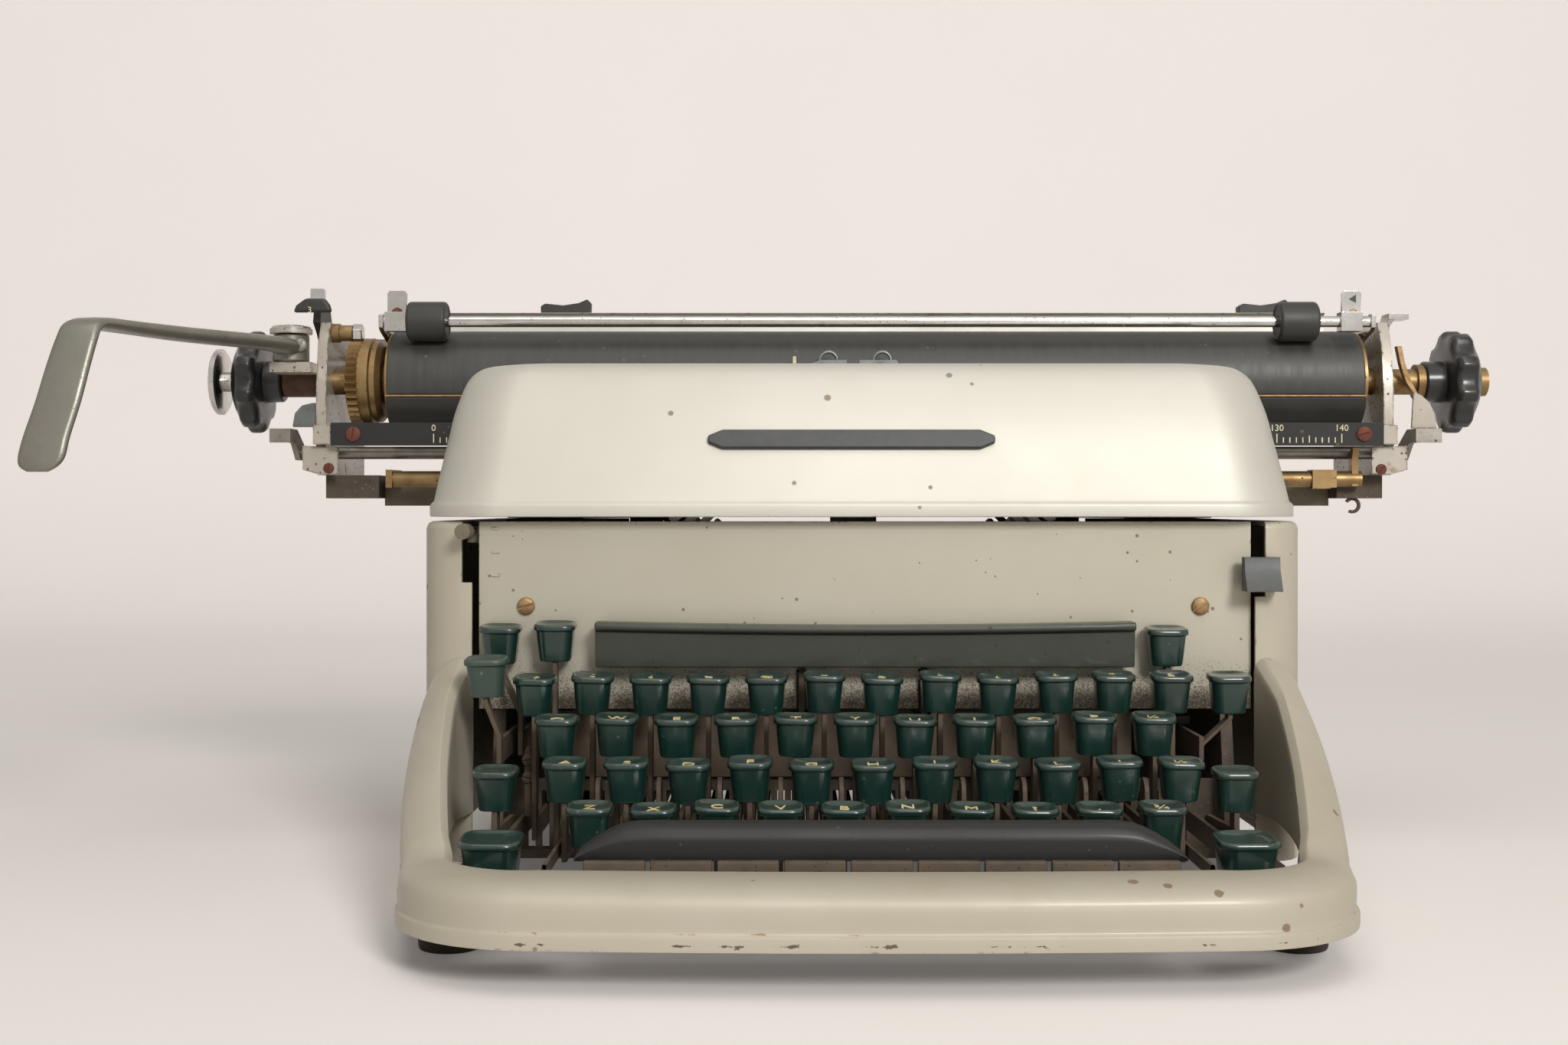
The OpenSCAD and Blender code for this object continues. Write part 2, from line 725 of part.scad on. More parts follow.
module key_comb() {
    steps = concat([-1], [0], [for (k = [2:44]) k], [46]);
    color("dimgray") bench() difference() {
        block([-plate_in, panel_y + 5, foot_h + 3], [plate_in, panel_y + 7, 40]);
        for (k = steps) {
            x = key_left_x + k * lever_step;
            block([x - 1.3, panel_y + 4, foot_h + 3.4], [x + 1.3, panel_y + 8, 36]);
        }
        for (x = [space_left_x, space_right_x]) {
            block([x - 1.1, panel_y + 4, foot_h + 3.4], [x + 1.1, panel_y + 8, 36]);
        }
    }
}

module lever_shafts() {
    color("gray") bench() {
        rod_x(-plate_out, plate_out, shaft_y, shaft_z, shaft_r);
        rod_x(-plate_out, plate_out, upper_y, upper_z, upper_r);
    }
}

// Typing works

// Point of the basket at angle a from straight down and radius r, in X and Z about the printing point
function basket_at(a, r) = [r * sin(a), platen_z - r * cos(a)];

bar_angle = [for (i = [0:bar_count - 1]) -basket_half + 2 * basket_half * i / (bar_count - 1)];

module type_segment() {
    span = basket_half + 3;
    in_r = basket_r - 10;
    out_r = basket_r + 6;
    ring = concat([for (a = [-span:span / 12:span + 0.01]) basket_at(a, out_r)],
                  [for (a = [span:-span / 12:-span - 0.01]) basket_at(a, in_r)]);
    color("dimgray") bench() difference() {
        union() {
            plate_y(segment_y0, segment_y1 - segment_y0, ring);
            both_sides() {
                block([74, segment_y0, platen_z - 62], [guide_x - slide_gap, segment_y1, platen_z - 44]);
            }
        }
        for (a = bar_angle) translate([0, 0, platen_z]) rotate([0, -a, 0]) {
            block([-1, segment_y0 - 1, -basket_r - 2], [1, segment_y1 + 1, -basket_r + 12]);
        }
    }
}

module type_bars() {
    color("gray") bench() for (a = bar_angle) translate([0, 0, platen_z]) rotate([0, -a, 0]) {
        block([-0.8, basket_front, -basket_r], [0.8, segment_y1 - 3, -basket_r + 5]);
        block([-1.3, basket_front, -basket_r], [1.3, basket_front + 4, -basket_r + 12]);
    }
}

module wire_loop(x, z) {
    wire_r = guide_t / 2 - 0.1;
    translate([x, guide_y0 + guide_t / 2, z]) rotate([90, 0, 0]) {
        rotate_extrude(angle = 180) translate([3.4, 0]) circle(r = wire_r);
    }
}

module type_guide() {
    top = platen_z + 6.9;
    color("gray") bench() {
        difference() {
            plate_y(guide_y0, guide_t, [
                [-14, beam_z - 10], [14, beam_z - 10], [14, beam_z + 10], [9, beam_z + 20],
                [9, platen_z - 12], [24, platen_z - 6], [17, top], [-13, top], [-18, top - 2],
                [-18, platen_z - 8], [-9, platen_z - 12], [-9, beam_z + 20], [-14, beam_z + 10]
            ]);
            block([-2.5, guide_y0 - 1, platen_z - 8], [2.5, guide_y0 + guide_t + 1, top + 1]);
        }
        for (x = [-9.6, 11.4]) wire_loop(x, top - join);
    }
}

module carriage_rails() {
    color("gray") bench() for (y = [rail_y0, rail_y1]) {
        block([-case_half + 6, y, frame_top], [case_half - 6, y + rail_w, rail_top]);
    }
}

module ribbon_spool(x) {
    core_r = 6;
    color("black") bench() translate([x, spool_y, spool_z0]) difference() {
        rotate_extrude() polygon([
            [0, 0], [spool_r, 0], [spool_r, 1], [spool_r * 0.8, 1], [spool_r * 0.8, 14], [spool_r, 14],
            [spool_r, 15], [core_r, 15], [core_r, 17], [0, 17]
        ]);
        translate([0, 0, -1]) cylinder(h = 30, r = spindle_r + run_gap);
    }
}

module ribbon_spool_left() {
    ribbon_spool(-spool_x);
}

module ribbon_spool_right() {
    ribbon_spool(spool_x);
}

module ribbon_selector() {
    z = ribbon_knob_z;
    color("darkkhaki") bench() {
        rod_y(panel_y - 15, panel_y - 6, -selector_x, z, 2.6);
        rod_y(panel_y - 6 - join, panel_y + 6, -selector_x, z, 1.5);
        block([-selector_x - 1.5, panel_y + 5, z - 4], [-plate_out - slide_gap, panel_y + 9, z + 1.6]);
    }
}

module touch_selector() {
    color("darkslategray") bench() {
        plate_x(selector_x - 6.3, 12, [
            [panel_y - 13, touch_z0], [panel_y - 5, touch_z0], [panel_y - 5, touch_z0 + 11.5],
            [panel_y - 9, touch_z0 + 11.5], [panel_y - 9.5, touch_z0 + 7], [panel_y - 11, touch_z0 + 4]
        ]);
        rod_y(panel_y - 5 - join, panel_y + 6, selector_x, touch_z0 + 5, 1.5);
        block([plate_out + slide_gap, panel_y + 5, touch_z0 + 2],
              [selector_x + 1.5, panel_y + 9, touch_z0 + 8]);
    }
}

// Top cover

// Outline of the cover seen from above at one height, counterclockwise, with its rear edge at back
function cover_outline(half, front, back, r) = concat(
    arc([half - r, front + r], r, -90, 0, 5), [[half, back], [-half, back]],
    arc([-half + r, front + r], r, 180, 270, 5)
);

// Height above the lip, inward lean of the sides, and backward lean of the front, per level
COVER_LEVELS = [
    [0, -0.8, -0.8], [4.6, -0.8, -0.8], [5.6, 0.4, 0.4], [16, 2.2, 4], [27, 4.4, 7.5], [36, 6, 11],
    [45, 8.7, 15.5], [49.4, 10.9, 18.5], [52, 13.8, 21.2], [53.2, 17, 23.5], [54, 24, 28]
];

module top_cover() {
    rise = (cover_top - cover_z) / 54;
    half = case_half - 1;
    outer = [for (l = COVER_LEVELS) at_z(
        cover_outline(half - l[1], cover_front_y + l[2], cover_back_y, max(8, cover_corner_r - l[1] / 3)),
        cover_z + l[0] * rise)];
    inner = [for (i = [0:len(COVER_LEVELS) - 1]) let (l = COVER_LEVELS[i]) at_z(
        cover_outline(half - l[1] - sheet_t, cover_front_y + l[2] + sheet_t, cover_back_y + 2,
                      max(8, cover_corner_r - l[1] / 3) - sheet_t),
        cover_z + l[0] * rise - (i == 0 ? 1 : sheet_t * min(1, l[0] / 50)))];
    color("silver") bench() {
        difference() {
            skin(outer);
            skin(inner);
        }
        both_sides() difference() {
            block([ear_in, cover_pivot_y - 7, cover_pivot_z - 3.6],
                  [ear_in + ear_t, cover_back_y - 0.3, cover_top - sheet_t + join]);
            rod_x(ear_in - 1, ear_in + ear_t + 1, cover_pivot_y, cover_pivot_z, cover_pin_r + run_gap);
        }
    }
}

// Rear drive

module mainspring_drum() {
    drum_y = bulkhead_y + 3 + slide_gap;
    color("gray") bench() difference() {
        union() {
            rod_y(drum_y, rear_y - 1.5, drum_x, drum_z, drum_r - 2);
            rod_y(drum_y, drum_y + 1.7, drum_x, drum_z, drum_r);
            rod_y(rear_y - 3, rear_y - 1.5, drum_x, drum_z, drum_r);
        }
        rod_y(drum_y - 1, case_d, drum_x, drum_z, drum_stud_r + run_gap);
    }
}

// Carriage

module carriage_bed() {
    color("dimgray") bench() {
        for (y = [bed_front_y, bed_back_y - bed_wall]) {
            block([bed_left, y, bed_z], [bed_right, y + bed_wall, bed_top]);
        }
        block([bed_left, bed_front_y + join, rail_top + slide_gap], [bed_right, bed_back_y - join, bed_top]);
        for (ends = [[plate_left + 2, bed_left + join], [bed_right - join, plate_right + end_t - 2]]) {
            block([ends[0], block_front_y, rail_top + 1.5], [ends[1], rack_y + 3, block_top]);
            block([ends[0], block_front_y, bed_z + 3],
                  [ends[1], bed_front_y + bed_wall - join, rail_top + 2]);
        }
    }
}

// Outline of an end plate in Y and Z
END_OUTLINE = [
    [plate_front_y, scale_z0], [plate_front_y + 3, block_top], [rack_y + 7, block_top],
    [rack_y + 7, rack_z + 5], [platen_y + 38, platen_z + 22.2], [platen_y + 18, platen_z + 23.2],
    [platen_y - 8, platen_z + 23.2], [platen_y - 13, platen_z + 14.2], [plate_front_y, platen_z - 3.8]
];

// End plate with its outer face's direction side, a lug behind the scale and a bracket on the outside
module end_plate(x0, side) {
    outer = side < 0 ? x0 : x0 + end_t;
    lug_x = outer - side * 19;
    bracket = [
        [outer + side * 5, block_top + 2], [outer - side * 2, block_top], [outer - side * 9, block_top + 0.5],
        [outer - side * 9, block_top + 11], [outer + side * 5, block_top + 11.5]
    ];
    difference() {
        union() {
            plate_x(x0, end_t, END_OUTLINE);
            block([min(outer, lug_x), scale_y0 + 2, scale_z0 + 0.5],
                  [max(outer, lug_x), scale_y0 + 4, scale_z0 + scale_h - 0.8]);
            block([x0, scale_y0 + 2, scale_z0 + 0.5],
                  [x0 + end_t, plate_front_y + 1, scale_z0 + scale_h - 0.8]);
            plate_y(plate_front_y - 1.5 + join, 1.5, bracket);
        }
        rod_x(x0 - 1, x0 + end_t + 1, platen_y, platen_z, platen_shaft_r + run_gap);
        rod_x(x0 - 1, x0 + end_t + 1, release_y, release_z, release_r + run_gap);
    }
}

module left_end_plate() {
    color("lightgray") bench() {
        end_plate(plate_left, -1);
        rod_x(plate_left + end_t - join, arm_left + arm_t + 0.5, bail_pivot_y, bail_pivot_z, bail_pin_r);
        rod_x(plate_left - 4, plate_left + join, spacer_y, spacer_z, lever_pin_r);
        block([hub_x - 7, hub_y - 6, hub_z0 - 4.3], [plate_left + join, hub_y + 9, hub_z0 - slide_gap]);
        translate([hub_x, hub_y, hub_z0 - 2]) cylinder(h = hub_z1 - hub_z0 + 2.4, r = hub_pin_r);
        translate([hub_x, hub_y, hub_z1 + slide_gap]) cylinder(h = 2, r = hub_r + 1.2);
    }
}

module right_end_plate() {
    color("lightgray") bench() {
        end_plate(plate_right, 1);
        rod_x(arm_right - 0.5, plate_right + join, bail_pivot_y, bail_pivot_z, bail_pin_r);
        rod_x(plate_right + end_t - join, plate_right + end_t + 4, loosener_y, loosener_z, lever_pin_r);
    }
}

// Scale band with its graduations cut into its face, every tenth one long
module margin_scale() {
    tick_left = platen_left + 19.3;
    tick_step = 2.54;
    color("midnightblue") bench() difference() {
        union() {
            block([scale_left, scale_y0, scale_z0], [scale_right, scale_y0 + 2, scale_z0 + scale_h]);
            for (x = [scale_left + 9, scale_right - 7.8]) {
                rod_y(scale_y0 - 1.3, scale_y0 + join, x, scale_z0 + scale_h / 2, 3);
            }
        }
        for (i = [0:140]) {
            x = tick_left + i * tick_step;
            top = scale_z0 + (i % 10 == 0 ? 4.6 : i % 5 == 0 ? 3.9 : 3.2);
            block([x - 0.25, scale_y0 - 0.2, scale_z0 + 1], [x + 0.25, scale_y0 + 0.2, top]);
        }
    }
}

module paper_table() {
    foot = [platen_y + 25, platen_z - 18];
    head = [platen_y + 39, platen_z + 30.2];
    ear_z = platen_z + 4;
    ear_y = foot[0] + (head[0] - foot[0]) * (ear_z + 2.5 - foot[1]) / (head[1] - foot[1]);
    color("gainsboro") bench() {
        plate_x(platen_left, platen_l, [
            foot, foot + [1.5, -0.4], head + [1.5, -0.4], head + [-1.5, 1.6], head + [-3, 1.2], head + [0, 0]
        ]);
        for (ear = [[plate_left + end_t, platen_left + join], [platen_right - join, plate_right]]) {
            block([ear[0], ear_y - 1, ear_z], [ear[1], ear_y + 2, ear_z + 5]);
        }
    }
}

module feed_pan() {
    in_r = platen_r + 0.9;
    pan = concat(arc([0, 0], in_r, 200, 335, 16), arc([0, 0], in_r + 1.2, 335, 200, 16));
    color("black") bench() {
        translate([platen_left, platen_y, platen_z]) rotate([90, 0, 90]) {
            linear_extrude(platen_l) polygon(pan);
        }
        for (x = [platen_left + 33.5, (platen_left + platen_right) / 2, platen_right - 51.8]) {
            block([x - 1.5, platen_y, bed_top], [x + 1.5, platen_y + 12, platen_z - in_r - 0.6]);
        }
    }
}

module guide_tube() {
    y = bed_front_y - 16;
    z = bed_top;
    left = bed_left + 7;
    right = bed_right + 8;
    color("goldenrod") bench() {
        rod_x(left, right, y, z, tube_r);
        for (x = [left - 2.5, bed_right - 5]) {
            block([x, y - 4, bed_top - 3.4], [x + 2.5, bed_front_y, z + 3.7]);
        }
        block([bed_right - 12, y - 4, z - 3.8], [bed_right - 5, y + 4, z + 3.7]);
        plate_x(right - 4, 2.5, [
            [y - 2.5, z - 2.8], [y + 2.5, z - 2.8], [y + 2.5, z + 9.2], [y - 1, z + 12.2],
            [y - 4, z + 12.2], [y - 2.5, z + 8.2]
        ]);
    }
}

module margin_rack() {
    pitch = 5.08;
    first_x = plate_left + 22;
    color("gray") bench() difference() {
        block([plate_left + end_t, rack_y, rack_z], [plate_right, rack_y + rack_w, rack_z + rack_h]);
        for (x = [first_x:pitch:plate_right - 14]) {
            block([x, rack_y - 1, rack_z + rack_h - 1.5],
                  [x + 1.5, rack_y + rack_w + 1, rack_z + rack_h + 1]);
        }
    }
}

// Stop that straddles the rack, with a saddle-shaped finger tab on top
module margin_stop(x0) {
    y0 = rack_y - 2.5;
    y1 = rack_y + rack_w + 2.5;
    base_top = rack_z + rack_h + 4;
    w = stop_w;
    tab = [
        [1, base_top - join], [w - 1, base_top - join], [w - 0.5, stop_top - 1.5], [w - 2, stop_top],
        [w * 0.75, stop_top - 1.6], [w * 0.45, stop_top - 2.6], [2.5, stop_top - 1.8], [0.6, stop_top - 3]
    ];
    color("black") bench() translate([x0, 0, 0]) difference() {
        union() {
            block([0, y0, rack_z - 3], [w, y1, base_top]);
            plate_y(y0 + 1, y1 - y0 - 2, tab);
        }
        block([-1, rack_y - slide_gap, rack_z - slide_gap],
              [w + 1, rack_y + rack_w + slide_gap, rack_z + rack_h + slide_gap]);
    }
}

module left_margin_stop() {
    margin_stop(platen_left + 52);
}

module right_margin_stop() {
    margin_stop(platen_right - 35.3);
}

// Platen and what turns with it

module platen() {
    color("darkslategray") bench() difference() {
        rod_x(platen_left, platen_right, platen_y, platen_z, platen_r);
        rod_x(platen_left - 1, platen_right + 1, platen_y, platen_z, platen_shaft_r + run_gap);
    }
}

module platen_shaft() {
    tooth = 360 / ratchet_teeth;
    color("peru") bench() {
        rod_x(knob_left_x1 - 6, knob_right_x1 + join, platen_y, platen_z, platen_shaft_r);
        rod_x(knob_right_x1, nut_end, platen_y, platen_z, platen_shaft_r + 0.6);
        translate([ratchet_x0, platen_y, platen_z]) rotate([90, 0, 90]) linear_extrude(4.7) polygon([
            for (i = [0:ratchet_teeth - 1]) for (p = [[0, ratchet_r - 2], [0.5, ratchet_r]])
                p[1] * [cos((i + p[0]) * tooth), sin((i + p[0]) * tooth)]
        ]);
        translate([ratchet_x0 + 4.7 - join, platen_y, platen_z]) rotate([0, 90, 0]) rotate_extrude() polygon([
            [0, 0], [ratchet_r - 1, 0], [ratchet_r - 1, 0.8], [ratchet_r + 0.2, 0.8], [ratchet_r + 0.2, 4.4],
            [ratchet_r - 1, 5], [ratchet_r - 1, 7], [ratchet_r - 3, 8.9], [9, 8.9], [7.5, 12.3], [0, 12.3]
        ]);
        rod_x(platen_left - 0.9, platen_left - 0.05, platen_y, platen_z, platen_r - 0.8);
        rod_x(platen_right + 0.05, platen_right + 1.2, platen_y, platen_z, platen_r - 0.8);
        rod_x(platen_right, platen_right + 3, platen_y, platen_z, 8);
        rod_x(knob_right_x0 - 3, knob_right_x0 - 0.1, platen_y, platen_z, platen_shaft_r + 1.8);
    }
}

// Fluted knob from its hub's end at x = inner to its domed face at x = outer
module knob(inner, outer) {
    w = abs(outer - inner);
    rim = 0.38 * w;
    difference() {
        translate([inner, platen_y, platen_z]) rotate([0, sign(outer - inner) * 90, 0]) rotate_extrude() {
            polygon(concat(
                [[0, 0], [knob_hub_r, 0], [knob_hub_r + 0.4, rim]], arc([knob_r - 2, rim + 2], 2, -90, 0, 4),
                arc([knob_r - 2, w - knob_dome - 2], 2, 0, 90, 4),
                [[knob_r - 4, w - knob_dome + 1], [knob_r - 9, w - 1], [knob_r - 14, w], [0, w]]
            ));
        }
        for (i = [0:knob_flutes - 1]) {
            translate([inner, platen_y, platen_z]) rotate([i * 360 / knob_flutes, 0, 0]) {
                translate([-w - 1, knob_r + 5.6, 0]) rotate([0, 90, 0]) cylinder(h = 2 * w + 2, r = 8);
            }
        }
    }
}

module left_knob() {
    color("black") bench() difference() {
        knob(knob_left_x1, knob_left_x0);
        rod_x(knob_left_x0 - 1, knob_left_x1, platen_y, platen_z, button_stem_r + run_gap);
        rod_x(knob_left_x0 + 7, knob_left_x1 + 1, platen_y, platen_z, platen_shaft_r + run_gap);
    }
}

module right_knob() {
    color("black") bench() difference() {
        knob(knob_right_x0, knob_right_x1);
        rod_x(knob_right_x0 - 1, knob_right_x1 + 1, platen_y, platen_z, platen_shaft_r + run_gap);
    }
}

module variable_button() {
    color("silver") bench() {
        translate([button_x0, platen_y, platen_z]) rotate([0, 90, 0]) rotate_extrude() polygon([
            [0, 0.8], [button_r - 3, 0], [button_r, 1.2], [button_r, 3], [button_r - 2, 4.2], [0, 4.2]
        ]);
        rod_x(button_x0 + 4, knob_left_x0 + 6, platen_y, platen_z, button_stem_r);
    }
}

// Levers of the carriage

// Cross-section of the return lever's arm: width w along X and thickness t, leaning forwards by tilt
function lever_ring(c, w, t, tilt) = [
    for (p = cut_rect([0, 0], w, t, t * 0.3)) c + [p[0], -p[1] * sin(tilt), p[1] * cos(tilt)]
];

module return_lever() {
    arm_z = (hub_z0 + hub_z1) / 2;
    tip_x = paddle_w / 2 - lever_reach;
    tip_y = hub_y - 136;
    // Centre, width, thickness and lean of each cross-section, from the hub to the tip
    run = [
        [[hub_x, hub_y - 2, arm_z], 11, 6, 0],
        [[hub_x - 3, hub_y - 22, arm_z + 0.4], 10, 5.4, 0],
        [[hub_x - 17, hub_y - 73, arm_z - 1.2], 9.5, 5, 0],
        [[tip_x + 16.2, tip_y + 31, arm_z - 1.6], 10, 4.2, 2],
        [[tip_x + 10.8, tip_y + 14, arm_z - 1.8], paddle_w - 3.5, 3.8, 12],
        [[tip_x + 9, tip_y + 7.5, arm_z - 3.4], paddle_w - 2.3, 3.4, 45],
        [[tip_x + 8, tip_y + 4.5, arm_z - 8], paddle_w - 1.6, 3.2, 75],
        [[tip_x + 6, tip_y + 2, arm_z - 17.6], paddle_w - 1, 3.1, 84],
        [[tip_x + 4, tip_y - 0.8, arm_z - 28.6], paddle_w - 0.6, 3, 84],
        [[tip_x + 1.2, tip_y - 3.2, lever_tip_z + 11.5], paddle_w - 0.2, 3, 86],
        [[tip_x, tip_y - 4.6, lever_tip_z + 5], paddle_w, 3, 88],
        [[tip_x - 0.8, tip_y - 5, lever_tip_z + 1.9], paddle_w - 3.5, 2.8, 88],
        [[tip_x - 1, tip_y - 5, lever_tip_z + 0.1], paddle_w - 8.5, 2.2, 88]
    ];
    color("gray") bench() difference() {
        union() {
            skin([for (s = run) lever_ring(s[0], s[1], s[2], s[3])]);
            translate([hub_x, hub_y, hub_z0]) cylinder(h = hub_z1 - hub_z0, r = hub_r);
        }
        translate([hub_x, hub_y, hub_z0 - 3]) cylinder(h = 20, r = hub_pin_r + run_gap);
    }
}

module bail_clamp(x0) {
    block([x0, bail_y - 3.4, bail_z - 4], [x0 + 8.5, bail_y + 3, bail_z + 3.6]);
    plate_y(bail_y - 1.2, 1.4, [
        [x0 + 0.8, bail_z], [x0 + 8, bail_z], [x0 + 8.6, bail_z + 11], [x0 + 7.6, bail_z + 12.1],
        [x0 + 1.6, bail_z + 12.1], [x0 + 0.8, bail_z + 11]
    ]);
}

module bail_arm(x0) {
    difference() {
        union() {
            plate_x(x0, arm_t, [
                [bail_y - 3, bail_z - 2.5], [bail_y, bail_z - 4], [bail_pivot_y, bail_pivot_z - 4],
                [bail_pivot_y, bail_pivot_z + 4], [bail_y, bail_z + 3], [bail_y - 3, bail_z + 2.5]
            ]);
            rod_x(x0, x0 + arm_t, bail_pivot_y, bail_pivot_z, 4);
        }
        rod_x(x0 - 1, x0 + arm_t + 1, bail_pivot_y, bail_pivot_z, bail_pin_r + run_gap);
    }
}

module paper_bail() {
    color("silver") bench() {
        rod_x(arm_left, arm_right + arm_t, bail_y, bail_z, bail_r);
        bail_clamp(arm_left + 2.4);
        bail_clamp(arm_right - 12);
        bail_arm(arm_left);
        bail_arm(arm_right);
    }
}

module bail_rollers() {
    color("black") bench() for (x = [platen_left + 8.3, platen_right - 34.3]) difference() {
        rod_x(x, x + roller_l, bail_y, bail_z, roller_r);
        rod_x(x - 1, x + roller_l + 1, bail_y, bail_z, bail_r + run_gap);
    }
}

module line_space_lever() {
    x0 = plate_left - slide_gap - 3;
    y = spacer_y;
    z = spacer_z;
    color("black") bench() difference() {
        union() {
            plate_x(x0, 3, [
                [y - 5, z - 3], [y + 3, z - 3], [y + 3, z + 6], [y - 2, z + 16], [y - 10, z + 18],
                [y - 11, z + 23], [y - 18, z + 23], [y - 18, z + 17], [y - 20, z + 10], [y - 14, z + 6]
            ]);
            rod_x(x0, x0 + 3, y, z, lever_pin_r + 3);
        }
        rod_x(x0 - 1, x0 + 4, y, z, lever_pin_r + run_gap);
    }
}

module paper_release_lever() {
    x0 = plate_right + end_t + slide_gap;
    y = loosener_y;
    z = loosener_z;
    color("silver") bench() difference() {
        union() {
            plate_x(x0, 2.6, [
                [y - 5, z - 2], [y, z - 5], [y + 5, z - 2], [y + 5, z + 4], [y - 10, z + 18.6],
                [y - 18, z + 18.6], [y - 18, z + 16], [y - 12, z + 14]
            ]);
            rod_x(x0, x0 + 2.6, y, z, lever_pin_r + 3);
            block([x0, y - 19, z + 16.2], [x0 + 8, y - 10, z + 18.6]);
        }
        rod_x(x0 - 1, x0 + 4, y, z, lever_pin_r + run_gap);
    }
}

// Arm from the release rod forwards to a thumb tab between x0 and x1
module release_tab(x0, x1, arm_x) {
    y = release_y;
    z = release_z;
    plate_x(arm_x, 2.2, [
        [y - 3, z - 3], [y + 3, z - 3], [y + 3, z + 3], [y - 8, z + 9], [y - 19, z + 9],
        [y - 19, z + 4], [y - 10, z + 3.4]
    ]);
    block([x0, y - 19, z + 3.6], [x1, y - 16, z + 9]);
}

module carriage_release() {
    left = plate_left - 10;
    right = plate_right + end_t + 8;
    color("gray") bench() {
        rod_x(left, right, release_y, release_z, release_r);
        release_tab(left - 6, left + 2.2, left);
        release_tab(right - 2.2, right + 8, right - 2.2);
    }
}

base_frame();
keyboard_surround();
left_side_panel();
right_side_panel();
front_panel();
rear_panel();
rubber_feet();
panel_screws();
key_comb();
lever_shafts();
type_segment();
type_bars();
type_guide();
carriage_rails();
top_cover();
ribbon_spool_left();
ribbon_spool_right();
ribbon_selector();
touch_selector();
tab_bar();
space_bar();
left_shift_key();
right_shift_key();
left_shift_lock();
right_shift_lock();
tab_set_key();
tab_clear_key();
margin_set_key();
margin_release_key();
back_space_key();
mainspring_drum();
finger_keys(0);  // keys_left_little
finger_keys(1);  // keys_left_ring
finger_keys(2);  // keys_left_middle
finger_keys(3);  // keys_left_index
finger_keys(4);  // keys_right_index
finger_keys(5);  // keys_right_middle
finger_keys(6);  // keys_right_ring
finger_keys(7);  // keys_right_little
carriage_bed();
left_end_plate();
right_end_plate();
margin_scale();
paper_table();
feed_pan();
guide_tube();
margin_rack();
left_margin_stop();
right_margin_stop();
platen();
platen_shaft();
left_knob();
right_knob();
variable_button();
return_lever();
paper_bail();
bail_rollers();
line_space_lever();
paper_release_lever();
carriage_release();
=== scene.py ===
"""Looks of the wide-carriage typewriter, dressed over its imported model.

Pieces are shaped in millimetres of the bench frame, with X to the right from the middle of the
case, Y back from the front rim and Z up from the desk, and are set down in the row frame at the end.
"""

import logging
import math
import random
from collections.abc import Callable, Iterator, Sequence
from contextlib import contextmanager
from dataclasses import dataclass, field
from enum import Enum

import bmesh
import bpy
from mathutils import Matrix, Vector
from mathutils.kdtree import KDTree


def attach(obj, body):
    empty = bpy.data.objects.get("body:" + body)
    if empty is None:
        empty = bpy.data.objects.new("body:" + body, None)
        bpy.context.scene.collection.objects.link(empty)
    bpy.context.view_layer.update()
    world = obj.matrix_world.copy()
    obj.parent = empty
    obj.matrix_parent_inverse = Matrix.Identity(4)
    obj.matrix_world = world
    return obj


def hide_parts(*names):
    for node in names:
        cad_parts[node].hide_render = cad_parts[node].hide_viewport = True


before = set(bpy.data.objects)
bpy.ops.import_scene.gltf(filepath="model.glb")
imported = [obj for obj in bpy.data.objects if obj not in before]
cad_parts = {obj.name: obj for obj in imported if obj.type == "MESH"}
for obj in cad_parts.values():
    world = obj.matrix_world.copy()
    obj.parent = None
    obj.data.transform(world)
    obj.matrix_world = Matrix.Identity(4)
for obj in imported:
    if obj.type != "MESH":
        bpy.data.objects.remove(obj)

Point = tuple[float, float, float]
Flat = tuple[float, float]
Colour = tuple[float, float, float, float]
Source = bpy.types.NodeSocket | float | tuple
CornerTest = Callable[[list[Vector]], bool]

LOG = logging.getLogger("typewriter")
MM = 0.001
BENCH_TO_ROW = Matrix.Scale(MM, 4) @ Matrix.Translation((8.15, -161.0, 0.0))
ROW_TO_BENCH = BENCH_TO_ROW.inverted()
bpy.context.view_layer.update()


class Body(Enum):
    """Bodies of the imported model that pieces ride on."""

    FRAME = "frame"
    COVER = "cover"
    LEFT_SPOOL = "left_spool"
    RIGHT_SPOOL = "right_spool"
    RIBBON_KNOB = "ribbon_knob"
    TOUCH_KNOB = "touch_knob"
    TABULATOR = "tabulator"
    SPACER = "spacer"
    SHIFT = "shift"
    LEFT_LOCK = "left_lock"
    RIGHT_LOCK = "right_lock"
    TAB_SET = "tab_set"
    TAB_CLEAR = "tab_clear"
    MARGIN_SET = "margin_set"
    MARGIN_RELEASE = "margin_release"
    BACK_SPACE = "back_space"
    DRUM = "drum"
    CARRIAGE = "carriage"
    LEFT_STOP = "left_stop"
    RIGHT_STOP = "right_stop"
    PLATEN = "platen_roller"
    BUTTON = "platen_button"
    RETURN = "carriage_return"
    BAIL = "bail"
    ROLLERS = "rollers"
    SPACING = "spacing"
    PAPER_RELEASE = "paper_release"
    RELEASE = "release"
    LEFT_LITTLE = "fingers_left_little"
    LEFT_RING = "fingers_left_ring"
    LEFT_MIDDLE = "fingers_left_middle"
    LEFT_INDEX = "fingers_left_index"
    RIGHT_INDEX = "fingers_right_index"
    RIGHT_MIDDLE = "fingers_right_middle"
    RIGHT_RING = "fingers_right_ring"
    RIGHT_LITTLE = "fingers_right_little"


